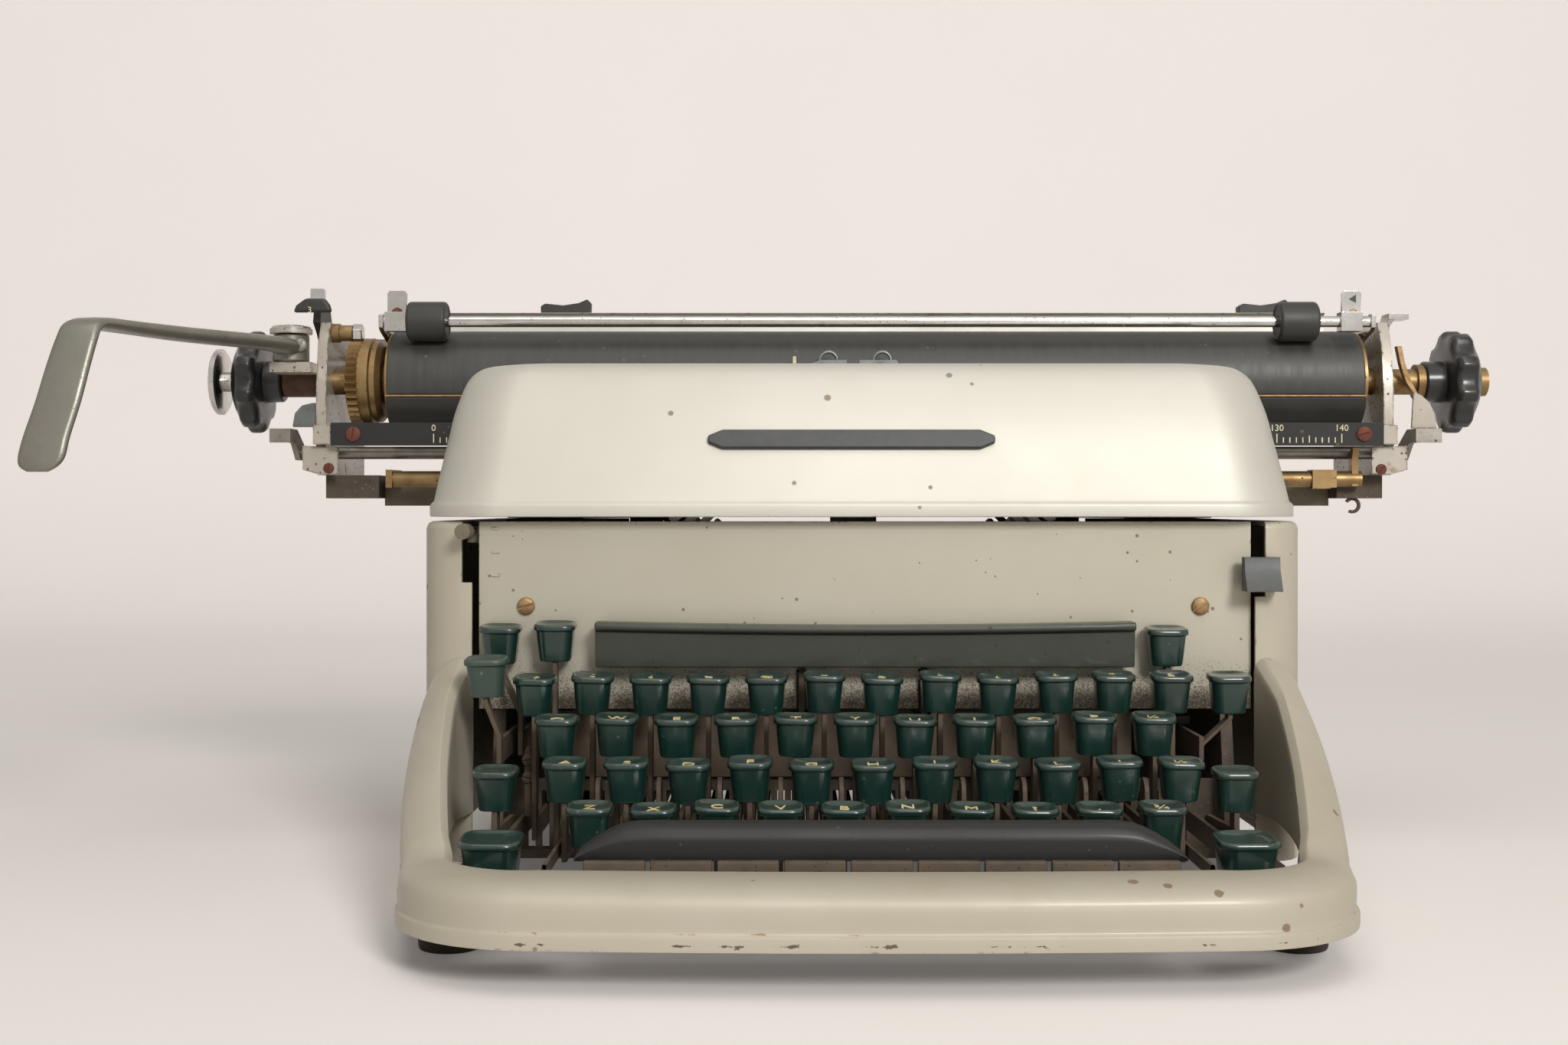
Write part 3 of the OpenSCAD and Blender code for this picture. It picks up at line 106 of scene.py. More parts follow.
class Slot(Enum):
    """Material slots of the record."""

    ENAMEL = "enamel"
    FRAME_BLACK = "frame_black"
    DUSTY_STEEL = "dusty_steel"
    STEEL = "steel"
    CHROME = "chrome"
    BRASS = "brass"
    KEY_GREEN = "key_green"
    BAR_GREEN = "bar_green"
    BLACK_PLASTIC = "black_plastic"
    PLATEN_RUBBER = "platen_rubber"
    FOOT_RUBBER = "foot_rubber"
    SCALE_BLUE = "scale_blue"
    WHITE_ENAMEL = "white_enamel"


# Finishes


def tint(red: int, green: int, blue: int) -> Colour:
    """Turns a colour in screen values into the linear colour of a shader.

    Args:
        red: Red from 0 to 255.
        green: Green from 0 to 255.
        blue: Blue from 0 to 255.

    Returns:
        Linear red, green, blue and a full alpha.
    """
    linear = [(v / 255 / 12.92 if v < 10 else ((v / 255 + 0.055) / 1.055) ** 2.4) for v in (red, green, blue)]
    return (linear[0], linear[1], linear[2], 1.0)


RUST = tint(104, 62, 38)
DARK_RUST = tint(62, 40, 28)
DUST = tint(150, 128, 104)


class Graph:
    """Short calls for placing and linking the nodes of one tree."""

    def __init__(self, tree: bpy.types.NodeTree) -> None:
        """Keeps the tree that the nodes go into.

        Args:
            tree: A material's or a group's node tree.
        """
        self.tree = tree

    def add(self, kind: str, **settings: object) -> bpy.types.Node:
        """Adds a shader node.

        Args:
            kind: The node's kind without its prefix.
            settings: Attributes to set on it.

        Returns:
            The new node.
        """
        node = self.tree.nodes.new("ShaderNode" + kind)
        for name, value in settings.items():
            setattr(node, name, value)
        return node

    def feed(self, socket: bpy.types.NodeSocket, source: Source) -> None:
        """Links a source to a socket, or sets the socket's own value.

        Args:
            socket: An input socket.
            source: An output socket or a plain value.
        """
        if isinstance(source, bpy.types.NodeSocket):
            self.tree.links.new(source, socket)
        else:
            socket.default_value = source

    def math(self, operation: str, *values: Source, clamp: bool = False) -> bpy.types.NodeSocket:
        """Adds a Math node.

        Args:
            operation: Name of the operation.
            values: Its inputs in order.
            clamp: Whether the result stays from 0 to 1.

        Returns:
            The result's socket.
        """
        node = self.add("Math", operation=operation, use_clamp=clamp)
        for socket, value in zip(node.inputs, values):
            self.feed(socket, value)
        return node.outputs[0]

    def ramp(self, value: Source, low: Source, high: Source) -> bpy.types.NodeSocket:
        """Maps low to 0 and high to 1 and clamps what lies outside.

        Args:
            value: The value to map.
            low: Value that becomes 0.
            high: Value that becomes 1.

        Returns:
            The mapped value's socket.
        """
        node = self.add("MapRange", clamp=True)
        for socket, source in zip(node.inputs, (value, low, high)):
            self.feed(socket, source)
        return node.outputs[0]

    def mix(self, factor: Source, first: Source, second: Source) -> bpy.types.NodeSocket:
        """Mixes two colours.

        Args:
            factor: Share of the second.
            first: First colour.
            second: Second colour.

        Returns:
            The mixed colour's socket.
        """
        node = self.add("Mix", data_type="RGBA")
        for index, source in ((0, factor), (6, first), (7, second)):
            self.feed(node.inputs[index], source)
        return node.outputs[2]

    def blend(self, factor: Source, first: Source, second: Source) -> bpy.types.NodeSocket:
        """Mixes two numbers.

        Args:
            factor: Share of the second.
            first: First number.
            second: Second number.

        Returns:
            The mixed number's socket.
        """
        node = self.add("Mix", data_type="FLOAT")
        for index, source in ((0, factor), (2, first), (3, second)):
            self.feed(node.inputs[index], source)
        return node.outputs[0]

    def place(self) -> bpy.types.NodeSocket:
        """Returns the socket of the Object coordinates."""
        return self.add("TexCoord").outputs["Object"]

    def noise(
        self, where: Source, scale: Source, detail: float = 2.0, rough: float = 0.5,
    ) -> bpy.types.NodeSocket:
        """Adds a Noise Texture.

        Args:
            where: Coordinates.
            scale: Cells to a metre.
            detail: Octaves.
            rough: Share of each further octave.

        Returns:
            The noise value's socket.
        """
        node = self.add("TexNoise")
        for name, source in (("Vector", where), ("Scale", scale), ("Detail", detail), ("Roughness", rough)):
            self.feed(node.inputs[name], source)
        return node.outputs["Fac"]


class MaskGraph(Graph):
    """Graph of a shared group, whose inputs are given by name."""

    def __init__(self, tree: bpy.types.NodeTree) -> None:
        """Keeps the tree and adds its input node.

        Args:
            tree: The group's node tree, with its sockets.
        """
        super().__init__(tree)
        self.entry = tree.nodes.new("NodeGroupInput")

    def given(self, label: str) -> bpy.types.NodeSocket:
        """Returns the socket of a group input."""
        return self.entry.outputs[label]

    def height(self) -> bpy.types.NodeSocket:
        """Returns the Object coordinate along Z."""
        split = self.add("SeparateXYZ")
        self.feed(split.inputs[0], self.place())
        return split.outputs["Z"]

    def limit(self, value: Source, top: float, fall: float) -> bpy.types.NodeSocket:
        """Cuts a value off sharply, the lower the more of the mask is wanted.

        Args:
            value: The value to cut.
            top: The limit at an amount of 0.
            fall: How far the limit falls to an amount of 1.

        Returns:
            The mask's socket.
        """
        limit = self.math("SUBTRACT", top, self.math("MULTIPLY", self.given("Amount"), fall))
        return self.ramp(value, limit, self.math("ADD", limit, 0.03))

    @classmethod
    def build(
        cls, name: str, inputs: dict[str, float], draw: Callable[["MaskGraph"], Source],
    ) -> bpy.types.NodeTree:
        """Builds a node group with one mask as its output.

        Args:
            name: The group's name.
            inputs: Names of the number inputs with their defaults.
            draw: Draws the group's nodes and returns the mask's socket.

        Returns:
            The group's tree.
        """
        tree = bpy.data.node_groups.new(name, "ShaderNodeTree")
        for label, value in inputs.items():
            socket = tree.interface.new_socket(name=label, in_out="INPUT", socket_type="NodeSocketFloat")
            socket.default_value = value
        tree.interface.new_socket(name="Mask", in_out="OUTPUT", socket_type="NodeSocketFloat")
        graph = cls(tree)
        leave = tree.nodes.new("NodeGroupOutput")
        graph.feed(leave.inputs["Mask"], draw(graph))
        return tree


def draw_cloud(graph: MaskGraph) -> Source:
    """Soft clouds that fill a share of the surface."""
    value = graph.noise(graph.place(), graph.given("Scale"), 4.0, 0.6)
    edge = graph.math("SUBTRACT", 0.72, graph.math("MULTIPLY", graph.given("Amount"), 0.44))
    return graph.ramp(value, edge, graph.math("ADD", edge, graph.given("Softness")))


def draw_chips(graph: MaskGraph) -> Source:
    """Chips in the paint along a piece's edges."""
    rounded = graph.add("Bevel", samples=4)
    graph.feed(rounded.inputs["Radius"], graph.given("Radius"))
    meet = graph.add("VectorMath", operation="DOT_PRODUCT")
    graph.feed(meet.inputs[0], rounded.outputs[0])
    graph.feed(meet.inputs[1], graph.add("NewGeometry").outputs["Normal"])
    edge = graph.ramp(graph.math("SUBTRACT", 1.0, meet.outputs["Value"]), 0.01, 0.16)
    ragged = graph.noise(graph.place(), graph.given("Scale"), 5.0, 0.7)
    return graph.limit(graph.math("MULTIPLY_ADD", edge, 0.5, ragged), 1.17, 0.42)


def draw_dust(graph: MaskGraph) -> Source:
    """Dust that lies on what faces up."""
    split = graph.add("SeparateXYZ")
    graph.feed(split.inputs[0], graph.add("TexCoord").outputs["Normal"])
    up = graph.math("ADD", graph.math("MULTIPLY", graph.ramp(split.outputs["Z"], -0.2, 0.9), 0.8), 0.2)
    patchy = graph.ramp(graph.noise(graph.place(), graph.given("Scale"), 5.0, 0.65), 0.3, 0.68)
    return graph.math("MULTIPLY", graph.math("MULTIPLY", up, patchy), graph.given("Amount"), clamp=True)


def draw_specks(graph: MaskGraph) -> Source:
    """Small round specks scattered at random."""
    cells = graph.add("TexVoronoi")
    graph.feed(cells.inputs["Vector"], graph.place())
    graph.feed(cells.inputs["Scale"], graph.given("Scale"))
    chance = graph.add("SeparateColor")
    graph.feed(chance.inputs[0], cells.outputs["Color"])
    picked = graph.ramp(chance.outputs[0], graph.math("SUBTRACT", 1.0, graph.given("Density")), 1.0)
    size = graph.math("MULTIPLY", graph.math("POWER", picked, 0.5), 0.42)
    return graph.ramp(graph.math("SUBTRACT", size, cells.outputs["Distance"]), 0.0, 0.08)


def draw_band(graph: MaskGraph) -> Source:
    """Ragged wear near one height above the desk."""
    near = graph.math("ABSOLUTE", graph.math("SUBTRACT", graph.height(), graph.given("Height")))
    close = graph.ramp(near, graph.given("Reach"), 0.0)
    ragged = graph.noise(graph.place(), graph.given("Scale"), 5.0, 0.65)
    return graph.limit(graph.math("MULTIPLY_ADD", close, 0.3, ragged), 1.02, 0.3)


GROUPS = {
    name: MaskGraph.build(name, inputs, draw) for name, inputs, draw in (
        ("cloud", {"Amount": 0.5, "Scale": 20.0, "Softness": 0.2}, draw_cloud),
        ("chips", {"Amount": 0.2, "Scale": 300.0, "Radius": 0.001}, draw_chips),
        ("dust", {"Amount": 0.3, "Scale": 60.0}, draw_dust),
        ("specks", {"Density": 0.1, "Scale": 400.0}, draw_specks),
        ("band", {"Amount": 0.3, "Scale": 150.0, "Height": 0.017, "Reach": 0.002}, draw_band),
    )
}


@dataclass(frozen=True)
class Wear:
    """One layer of age over a finish, as a shared group with its values.

    Attributes:
        group: Name of the shared group.
        values: The group's inputs.
        colour: Colour of the layer.
        rough: Roughness where it lies.
        metal: Metallic where it lies.
        depth: Height of the layer in metres, negative where the paint is gone.
        share: Strength of the layer's colour.
    """

    group: str
    values: tuple[tuple[str, float], ...]
    colour: Colour = RUST
    rough: float = 0.85
    metal: float = 0.0
    depth: float = 0.0
    share: float = 1.0


def cloud(amount: float, scale: float, colour: Colour, softness: float = 0.2, **more: float) -> Wear:
    """Returns a layer of soft clouds."""
    return Wear("cloud", (("Amount", amount), ("Scale", scale), ("Softness", softness)), colour, **more)


def band(amount: float, scale: float, height: float, reach: float, colour: Colour, **more: float) -> Wear:
    """Returns a layer of ragged wear near one height."""
    values = (("Amount", amount), ("Scale", scale), ("Height", height), ("Reach", reach))
    return Wear("band", values, colour, **more)


def chips(amount: float, scale: float = 300.0, radius: float = 0.0012, colour: Colour = DARK_RUST) -> Wear:
    """Returns a layer of chipped edges."""
    return Wear("chips", (("Amount", amount), ("Scale", scale), ("Radius", radius)), colour, depth=-0.00008)


def dust(amount: float, scale: float = 60.0, colour: Colour = DUST) -> Wear:
    """Returns a layer of lying dust."""
    return Wear("dust", (("Amount", amount), ("Scale", scale)), colour, rough=0.95)


def specks(density: float, scale: float, colour: Colour = DARK_RUST, **more: float) -> Wear:
    """Returns a layer of specks."""
    return Wear("specks", (("Density", density), ("Scale", scale)), colour, **more)


@dataclass(frozen=True)
class Finish:
    """Paint, plastic, rubber or metal with its grain and the age that lies over it.

    Attributes:
        name: Name of the material.
        colour: Main colour.
        second: Colour that the main one wanders to.
        metal: Metallic of the clean surface.
        rough: Roughness of the clean surface.
        spread: How far the roughness wanders.
        wander: Size of the wandering, in cells to a metre.
        stretch: Stretch of the wandering along X, Y and Z.
        coat: Weight of a clear coat.
        grain: Depth of the fine grain in metres.
        grain_scale: Grain cells to a metre.
        wear: Layers of age, the lowest first.
    """

    name: str
    colour: Colour
    second: Colour
    metal: float = 0.0
    rough: float = 0.5
    spread: float = 0.1
    wander: float = 30.0
    stretch: Point = (1.0, 1.0, 1.0)
    coat: float = 0.0
    grain: float = 0.00002
    grain_scale: float = 900.0
    wear: tuple[Wear, ...] = ()

    def build(self) -> bpy.types.Material:
        """Builds the material's nodes.

        Returns:
            The new material.
        """
        material = bpy.data.materials.new(self.name)
        material.use_nodes = True
        graph = Graph(material.node_tree)
        shader = material.node_tree.nodes["Principled BSDF"]
        stretched = graph.add("Mapping")
        graph.feed(stretched.inputs["Vector"], graph.place())
        stretched.inputs["Scale"].default_value = self.stretch
        wandering = graph.ramp(graph.noise(stretched.outputs[0], self.wander, 4.0, 0.6), 0.3, 0.7)
        colour: Source = graph.mix(wandering, self.colour, self.second)
        rough: Source = graph.blend(wandering, self.rough, self.rough + self.spread)
        metal: Source = self.metal
        grain = graph.noise(graph.place(), self.grain_scale, 2.0, 0.5)
        height: Source = graph.math("MULTIPLY", grain, self.grain)
        for layer in self.wear:
            node = graph.add("Group", node_tree=GROUPS[layer.group])
            for label, value in layer.values:
                node.inputs[label].default_value = value
            mask = node.outputs["Mask"]
            shown = graph.math("MULTIPLY", mask, layer.share) if layer.share < 1.0 else mask
            colour = graph.mix(shown, colour, layer.colour)
            rough = graph.blend(shown, rough, layer.rough)
            if self.metal > 0.0 or layer.metal > 0.0:
                metal = graph.blend(shown, metal, layer.metal)
            if layer.depth:
                height = graph.math("MULTIPLY_ADD", mask, layer.depth, height)
        bump = graph.add("Bump")
        bump.inputs["Distance"].default_value = 1.0
        graph.feed(bump.inputs["Height"], height)
        for label, source in (("Base Color", colour), ("Roughness", rough), ("Metallic", metal),
                              ("Normal", bump.outputs[0]), ("Coat Weight", self.coat)):
            graph.feed(shader.inputs[label], source)
        shader.inputs["Coat Roughness"].default_value = 0.12
        return material


SILVER = tint(198, 195, 185)
SILVER_SHADE = tint(191, 188, 176)
ENAMEL = Finish(
    "enamel", SILVER, SILVER_SHADE, metal=0.32, rough=0.48, spread=0.06, wander=9.0, coat=0.1,
    grain=0.000012, grain_scale=2600.0, wear=(
        cloud(0.08, 14.0, tint(168, 154, 124), 0.25, share=0.4, rough=0.6),
        specks(0.015, 260.0, tint(120, 92, 62), share=0.7),
        chips(0.14), dust(0.06, 40.0, tint(178, 166, 142)),
    ))
# Darker, duller copy of the enamel for the surround and the side panels. Its darker base colours are partly the
# rim's own grime and partly painted shade on the front and side faces. The bands are grime and chips along the
# lower bead.
RIM_ENAMEL_SHADED = Finish(
    "rim_enamel_shaded", tint(186, 179, 163), tint(177, 169, 150), metal=0.15, rough=0.46, spread=0.08,
    wander=9.0, coat=0.1, grain=0.000012, grain_scale=2600.0, wear=(
        cloud(0.16, 18.0, tint(160, 146, 114), 0.25, share=0.5, rough=0.6),
        band(0.42, 90.0, 0.0178, 0.0016, tint(150, 116, 72), share=0.8),
        band(0.5, 120.0, 0.0148, 0.0022, tint(96, 82, 64), depth=-0.0001),
        specks(0.04, 220.0, tint(110, 84, 58), share=0.8),
        chips(0.22, 200.0), dust(0.2, 40.0, tint(150, 132, 104)),
    ))
# Darker copy of the enamel for the front panel. Its darker base colours are partly dirt and partly painted shade on
# the panel, which is recessed under the cover's lip.
PANEL_ENAMEL_SHADED = Finish(
    "panel_enamel_shaded", tint(182, 177, 162), tint(172, 166, 149), metal=0.4, rough=0.44, wander=8.0,
    grain=0.000016, grain_scale=2200.0, wear=(
        cloud(0.12, 12.0, tint(148, 138, 116), 0.3, share=0.4, rough=0.7),
        band(0.95, 1900.0, 0.066, 0.024, tint(92, 72, 54), share=0.75),
        specks(0.02, 620.0, tint(104, 84, 64), share=0.75),
        chips(0.25), dust(0.06, 60.0, tint(160, 146, 122)),
    ))
# The lighter teal chips along the caps' edges are partly worn plastic and partly a painted highlight on the glossy
# rims.
KEY_GREEN = Finish(
    "key_green", tint(12, 47, 41), tint(10, 38, 33), rough=0.26, spread=0.1, wander=60.0, coat=0.5,
    grain=0.000006, wear=(
        specks(0.04, 700.0, tint(84, 98, 86), share=0.4), chips(0.1, 500.0, 0.0006, tint(64, 108, 96)),
        dust(0.1, 300.0, tint(120, 120, 100)),
    ))
FADED_GREEN = Finish(
    "faded_green", tint(48, 70, 62), tint(40, 60, 52), rough=0.4, wander=50.0, coat=0.15, wear=(
        specks(0.06, 600.0, tint(110, 110, 92), share=0.6), dust(0.2, 200.0, tint(124, 122, 104)),
    ))
BAR_GREEN = Finish(
    "bar_green", tint(40, 46, 34), tint(31, 37, 27), rough=0.46, wander=22.0, coat=0.2, wear=(
        cloud(0.16, 34.0, tint(34, 36, 30), 0.12, share=0.8),
        specks(0.08, 480.0, tint(34, 32, 26), share=0.7), dust(0.22, 90.0, tint(122, 120, 100)),
    ))
SPACER_BLACK = Finish(
    "spacer_black", tint(8, 8, 7), tint(12, 12, 10), rough=0.52, wander=40.0, coat=0.06, wear=(
        cloud(0.06, 60.0, tint(60, 60, 54), 0.2, share=0.35),
        specks(0.04, 600.0, tint(80, 78, 68), share=0.5),
        dust(0.02, 120.0, tint(90, 84, 70)),
    ))
BLACK_PLASTIC = Finish(
    "black_plastic", tint(22, 22, 22), tint(30, 30, 29), rough=0.26, wander=60.0, coat=0.2, wear=(
        specks(0.05, 500.0, tint(90, 86, 76), share=0.4), dust(0.05, 120.0, tint(110, 104, 90)),
    ))
DULL_BLACK = Finish(
    "dull_black", tint(36, 36, 34), tint(46, 46, 43), rough=0.45, wander=80.0, wear=(
        chips(0.16, 400.0, 0.0008, tint(96, 92, 82)), dust(0.1, 120.0, tint(110, 104, 90)),
    ))
FRAME_BLACK = Finish(
    "frame_black", tint(50, 44, 38), tint(66, 56, 46), rough=0.65, wander=40.0, wear=(
        cloud(0.35, 50.0, tint(98, 76, 56), 0.25, share=0.7),
        specks(0.2, 700.0, tint(120, 96, 70), share=0.7),
        chips(0.3, 300.0, 0.001, RUST), dust(0.55, 90.0),
    ))
DUSTY_STEEL = Finish(
    "dusty_steel", tint(72, 61, 51), tint(92, 77, 62), metal=0.25, rough=0.6, wander=120.0, wear=(
        cloud(0.3, 110.0, tint(86, 56, 38), 0.2, share=0.7), specks(0.2, 900.0, tint(52, 38, 29), share=0.8),
        dust(0.35, 160.0, tint(126, 112, 94)),
    ))
BARE_STEEL = Finish(
    "bare_steel", tint(150, 146, 138), tint(120, 114, 104), metal=0.85, rough=0.4, wander=90.0, wear=(
        cloud(0.22, 120.0, tint(96, 66, 44), 0.15, share=0.8, rough=0.8),
        specks(0.1, 700.0, tint(70, 48, 34), share=0.8), dust(0.15, 120.0),
    ))
SATIN_GREY = Finish(
    "satin_grey", tint(132, 130, 120), tint(116, 113, 104), metal=0.6, rough=0.36, wander=50.0, coat=0.1,
    grain=0.00003, grain_scale=1500.0, wear=(
        specks(0.5, 1300.0, tint(104, 106, 98), share=0.55, metal=0.4),
        chips(0.2, 500.0, 0.0008, tint(110, 92, 70)),
        cloud(0.1, 90.0, tint(118, 96, 74), 0.15, share=0.6),
    ))
CHROME = Finish(
    "chrome", tint(206, 204, 200), tint(182, 178, 172), metal=1.0, rough=0.12, wander=120.0,
    grain=0.000004, wear=(
        specks(0.2, 1100.0, tint(80, 66, 54), share=0.7, metal=0.3, rough=0.6),
        cloud(0.08, 160.0, tint(120, 86, 56), 0.1, share=0.7, rough=0.7),
    ))
BRASS = Finish(
    "brass", tint(150, 126, 86), tint(122, 96, 62), metal=0.85, rough=0.36, wander=110.0, wear=(
        cloud(0.22, 90.0, tint(92, 62, 38), 0.2, share=0.8, rough=0.7),
        specks(0.12, 800.0, tint(66, 44, 28), share=0.7), dust(0.12, 120.0),
    ))
PLATEN_RUBBER = Finish(
    "platen_rubber", tint(50, 50, 47), tint(64, 63, 59), rough=0.42, spread=0.12, wander=150.0,
    stretch=(3.0, 0.3, 0.3), grain=0.00001, wear=(
        cloud(0.12, 60.0, tint(104, 98, 84), 0.2, share=0.35),
        specks(0.03, 500.0, tint(120, 112, 96), share=0.4),
    ))
FOOT_RUBBER = Finish("foot_rubber", tint(40, 37, 34), tint(54, 48, 42), rough=0.85, wander=100.0,
                     wear=(dust(0.3, 120.0),))
SCALE_BLUE = Finish(
    "scale_blue", tint(10, 11, 12), tint(15, 16, 17), rough=0.6, wander=60.0, wear=(
        specks(0.04, 500.0, tint(112, 100, 80), share=0.5), chips(0.15, 400.0, 0.0008, tint(100, 84, 62)),
        dust(0.05, 90.0),
    ))
OLIVE_STEEL = Finish(
    "olive_steel", tint(112, 104, 86), tint(92, 84, 68), metal=0.3, rough=0.5, wander=40.0, wear=(
        cloud(0.2, 60.0, tint(84, 66, 48), 0.25, share=0.6), specks(0.1, 700.0, tint(66, 48, 34), share=0.6),
        dust(0.15, 90.0),
    ))
RUSTY_SHAFT = Finish(
    "rusty_shaft", tint(92, 66, 50), tint(70, 46, 34), metal=0.4, rough=0.5, wander=140.0, wear=(
        cloud(0.3, 120.0, tint(112, 62, 40), 0.2, share=0.7),
        specks(0.15, 900.0, tint(50, 34, 26), share=0.7),
    ))
BLUE_STEEL = Finish(
    "blue_steel", tint(124, 128, 126), tint(100, 103, 101), metal=0.7, rough=0.36, wander=160.0, wear=(
        cloud(0.25, 150.0, tint(96, 70, 52), 0.15, share=0.7),
        specks(0.12, 900.0, tint(60, 46, 36), share=0.7),
    ))
WHITE_ENAMEL = Finish(
    "white_enamel", tint(182, 175, 164), tint(166, 157, 144), metal=0.2, rough=0.34, wander=60.0, coat=0.25,
    grain=0.00003, wear=(
        cloud(0.2, 90.0, tint(150, 112, 78), 0.1, share=0.9, rough=0.8),
        specks(0.2, 600.0, tint(84, 56, 40), share=0.8),
        chips(0.45, 300.0, 0.0014), dust(0.12, 60.0),
    ))
PALE_TABLE = Finish(
    "pale_table", tint(196, 194, 186), tint(180, 177, 166), metal=0.45, rough=0.38, wander=20.0, wear=(
        cloud(0.12, 40.0, tint(140, 112, 82), 0.12, share=0.7), chips(0.2), dust(0.15, 60.0),
    ))
RED_RUST = Finish(
    "red_rust", tint(112, 58, 44), tint(86, 44, 34), metal=0.15, rough=0.7, wander=200.0,
    wear=(specks(0.2, 900.0, tint(54, 34, 26), share=0.8), dust(0.1, 200.0)))
OLD_BRASS = Finish(
    "old_brass", tint(164, 136, 96), tint(128, 98, 66), metal=0.7, rough=0.45, wander=300.0,
    wear=(cloud(0.3, 260.0, tint(96, 66, 44), 0.15, share=0.8),))
GOLD_INK = Finish("gold_ink", tint(232, 214, 160), tint(204, 184, 128), rough=0.5, wander=400.0)
CREAM_INK = Finish("cream_ink", tint(224, 214, 180), tint(200, 186, 150), rough=0.5, wander=400.0)
BADGE = Finish("badge_black", tint(40, 46, 48), tint(52, 58, 60), rough=0.4, wander=120.0,
               wear=(chips(0.35, 500.0, 0.0008, RUST), dust(0.15, 200.0)))
RIBBON = Finish("ribbon_black", tint(24, 22, 22), tint(40, 28, 26), rough=0.9, wander=300.0,
                stretch=(1.0, 1.0, 4.0))

MATERIALS: dict[str, bpy.types.Material] = {}


def material_of(finish: Finish) -> bpy.types.Material:
    """Gives the material of a finish, and builds it at its first use.

    Args:
        finish: The finish wanted.

    Returns:
        Its material.
    """
    if finish.name not in MATERIALS:
        MATERIALS[finish.name] = finish.build()
    return MATERIALS[finish.name]


# Bench work


def flowing(points: Sequence[Sequence[float]], steps: int) -> list[tuple[float, ...]]:
    """Draws a smooth line through points.

    Args:
        points: Points of any size, all alike.
        steps: Steps from each point to the next.

    Returns:
        Points along the line, the given ones among them.
    """
    line = []
    for i in range(len(points) - 1):
        a, b = points[max(i - 1, 0)], points[i]
        c, d = points[i + 1], points[min(i + 2, len(points) - 1)]
        for k in range(steps):
            t = k / steps
            line.append(tuple(
                q + 0.5 * t * (r - p + t * (2 * p - 5 * q + 4 * r - s + t * (3 * (q - r) + s - p)))
                for p, q, r, s in zip(a, b, c, d)))
    return [*line, tuple(points[-1])]


def arc(middle: Flat, radius: float, start: float, end: float, steps: int) -> list[Flat]:
    """Points of an arc.

    Args:
        middle: Its centre.
        radius: Its radius.
        start: First angle in degrees.
        end: Last angle in degrees.
        steps: Number of steps.

    Returns:
        The points, both ends among them.
    """
    angles = [math.radians(start + (end - start) * i / steps) for i in range(steps + 1)]
    return [(middle[0] + radius * math.cos(a), middle[1] + radius * math.sin(a)) for a in angles]


def clear_selection() -> None:
    """Deselects every object."""
    bpy.ops.object.select_all(action="DESELECT")


def everything() -> None:
    """Selects the whole mesh, in edit mode."""
    bpy.ops.mesh.select_all(action="SELECT")


def extrude(step: Sequence[float]) -> None:
    """Extrudes what is selected by a step, in edit mode."""
    bpy.ops.mesh.extrude_region_move(TRANSFORM_OT_translate={"value": step})


def bare(mesh: bpy.types.Mesh, finish: "Finish") -> None:
    """Takes a mesh's materials off and gives it one finish."""
    mesh.materials.clear()
    mesh.materials.append(material_of(finish))


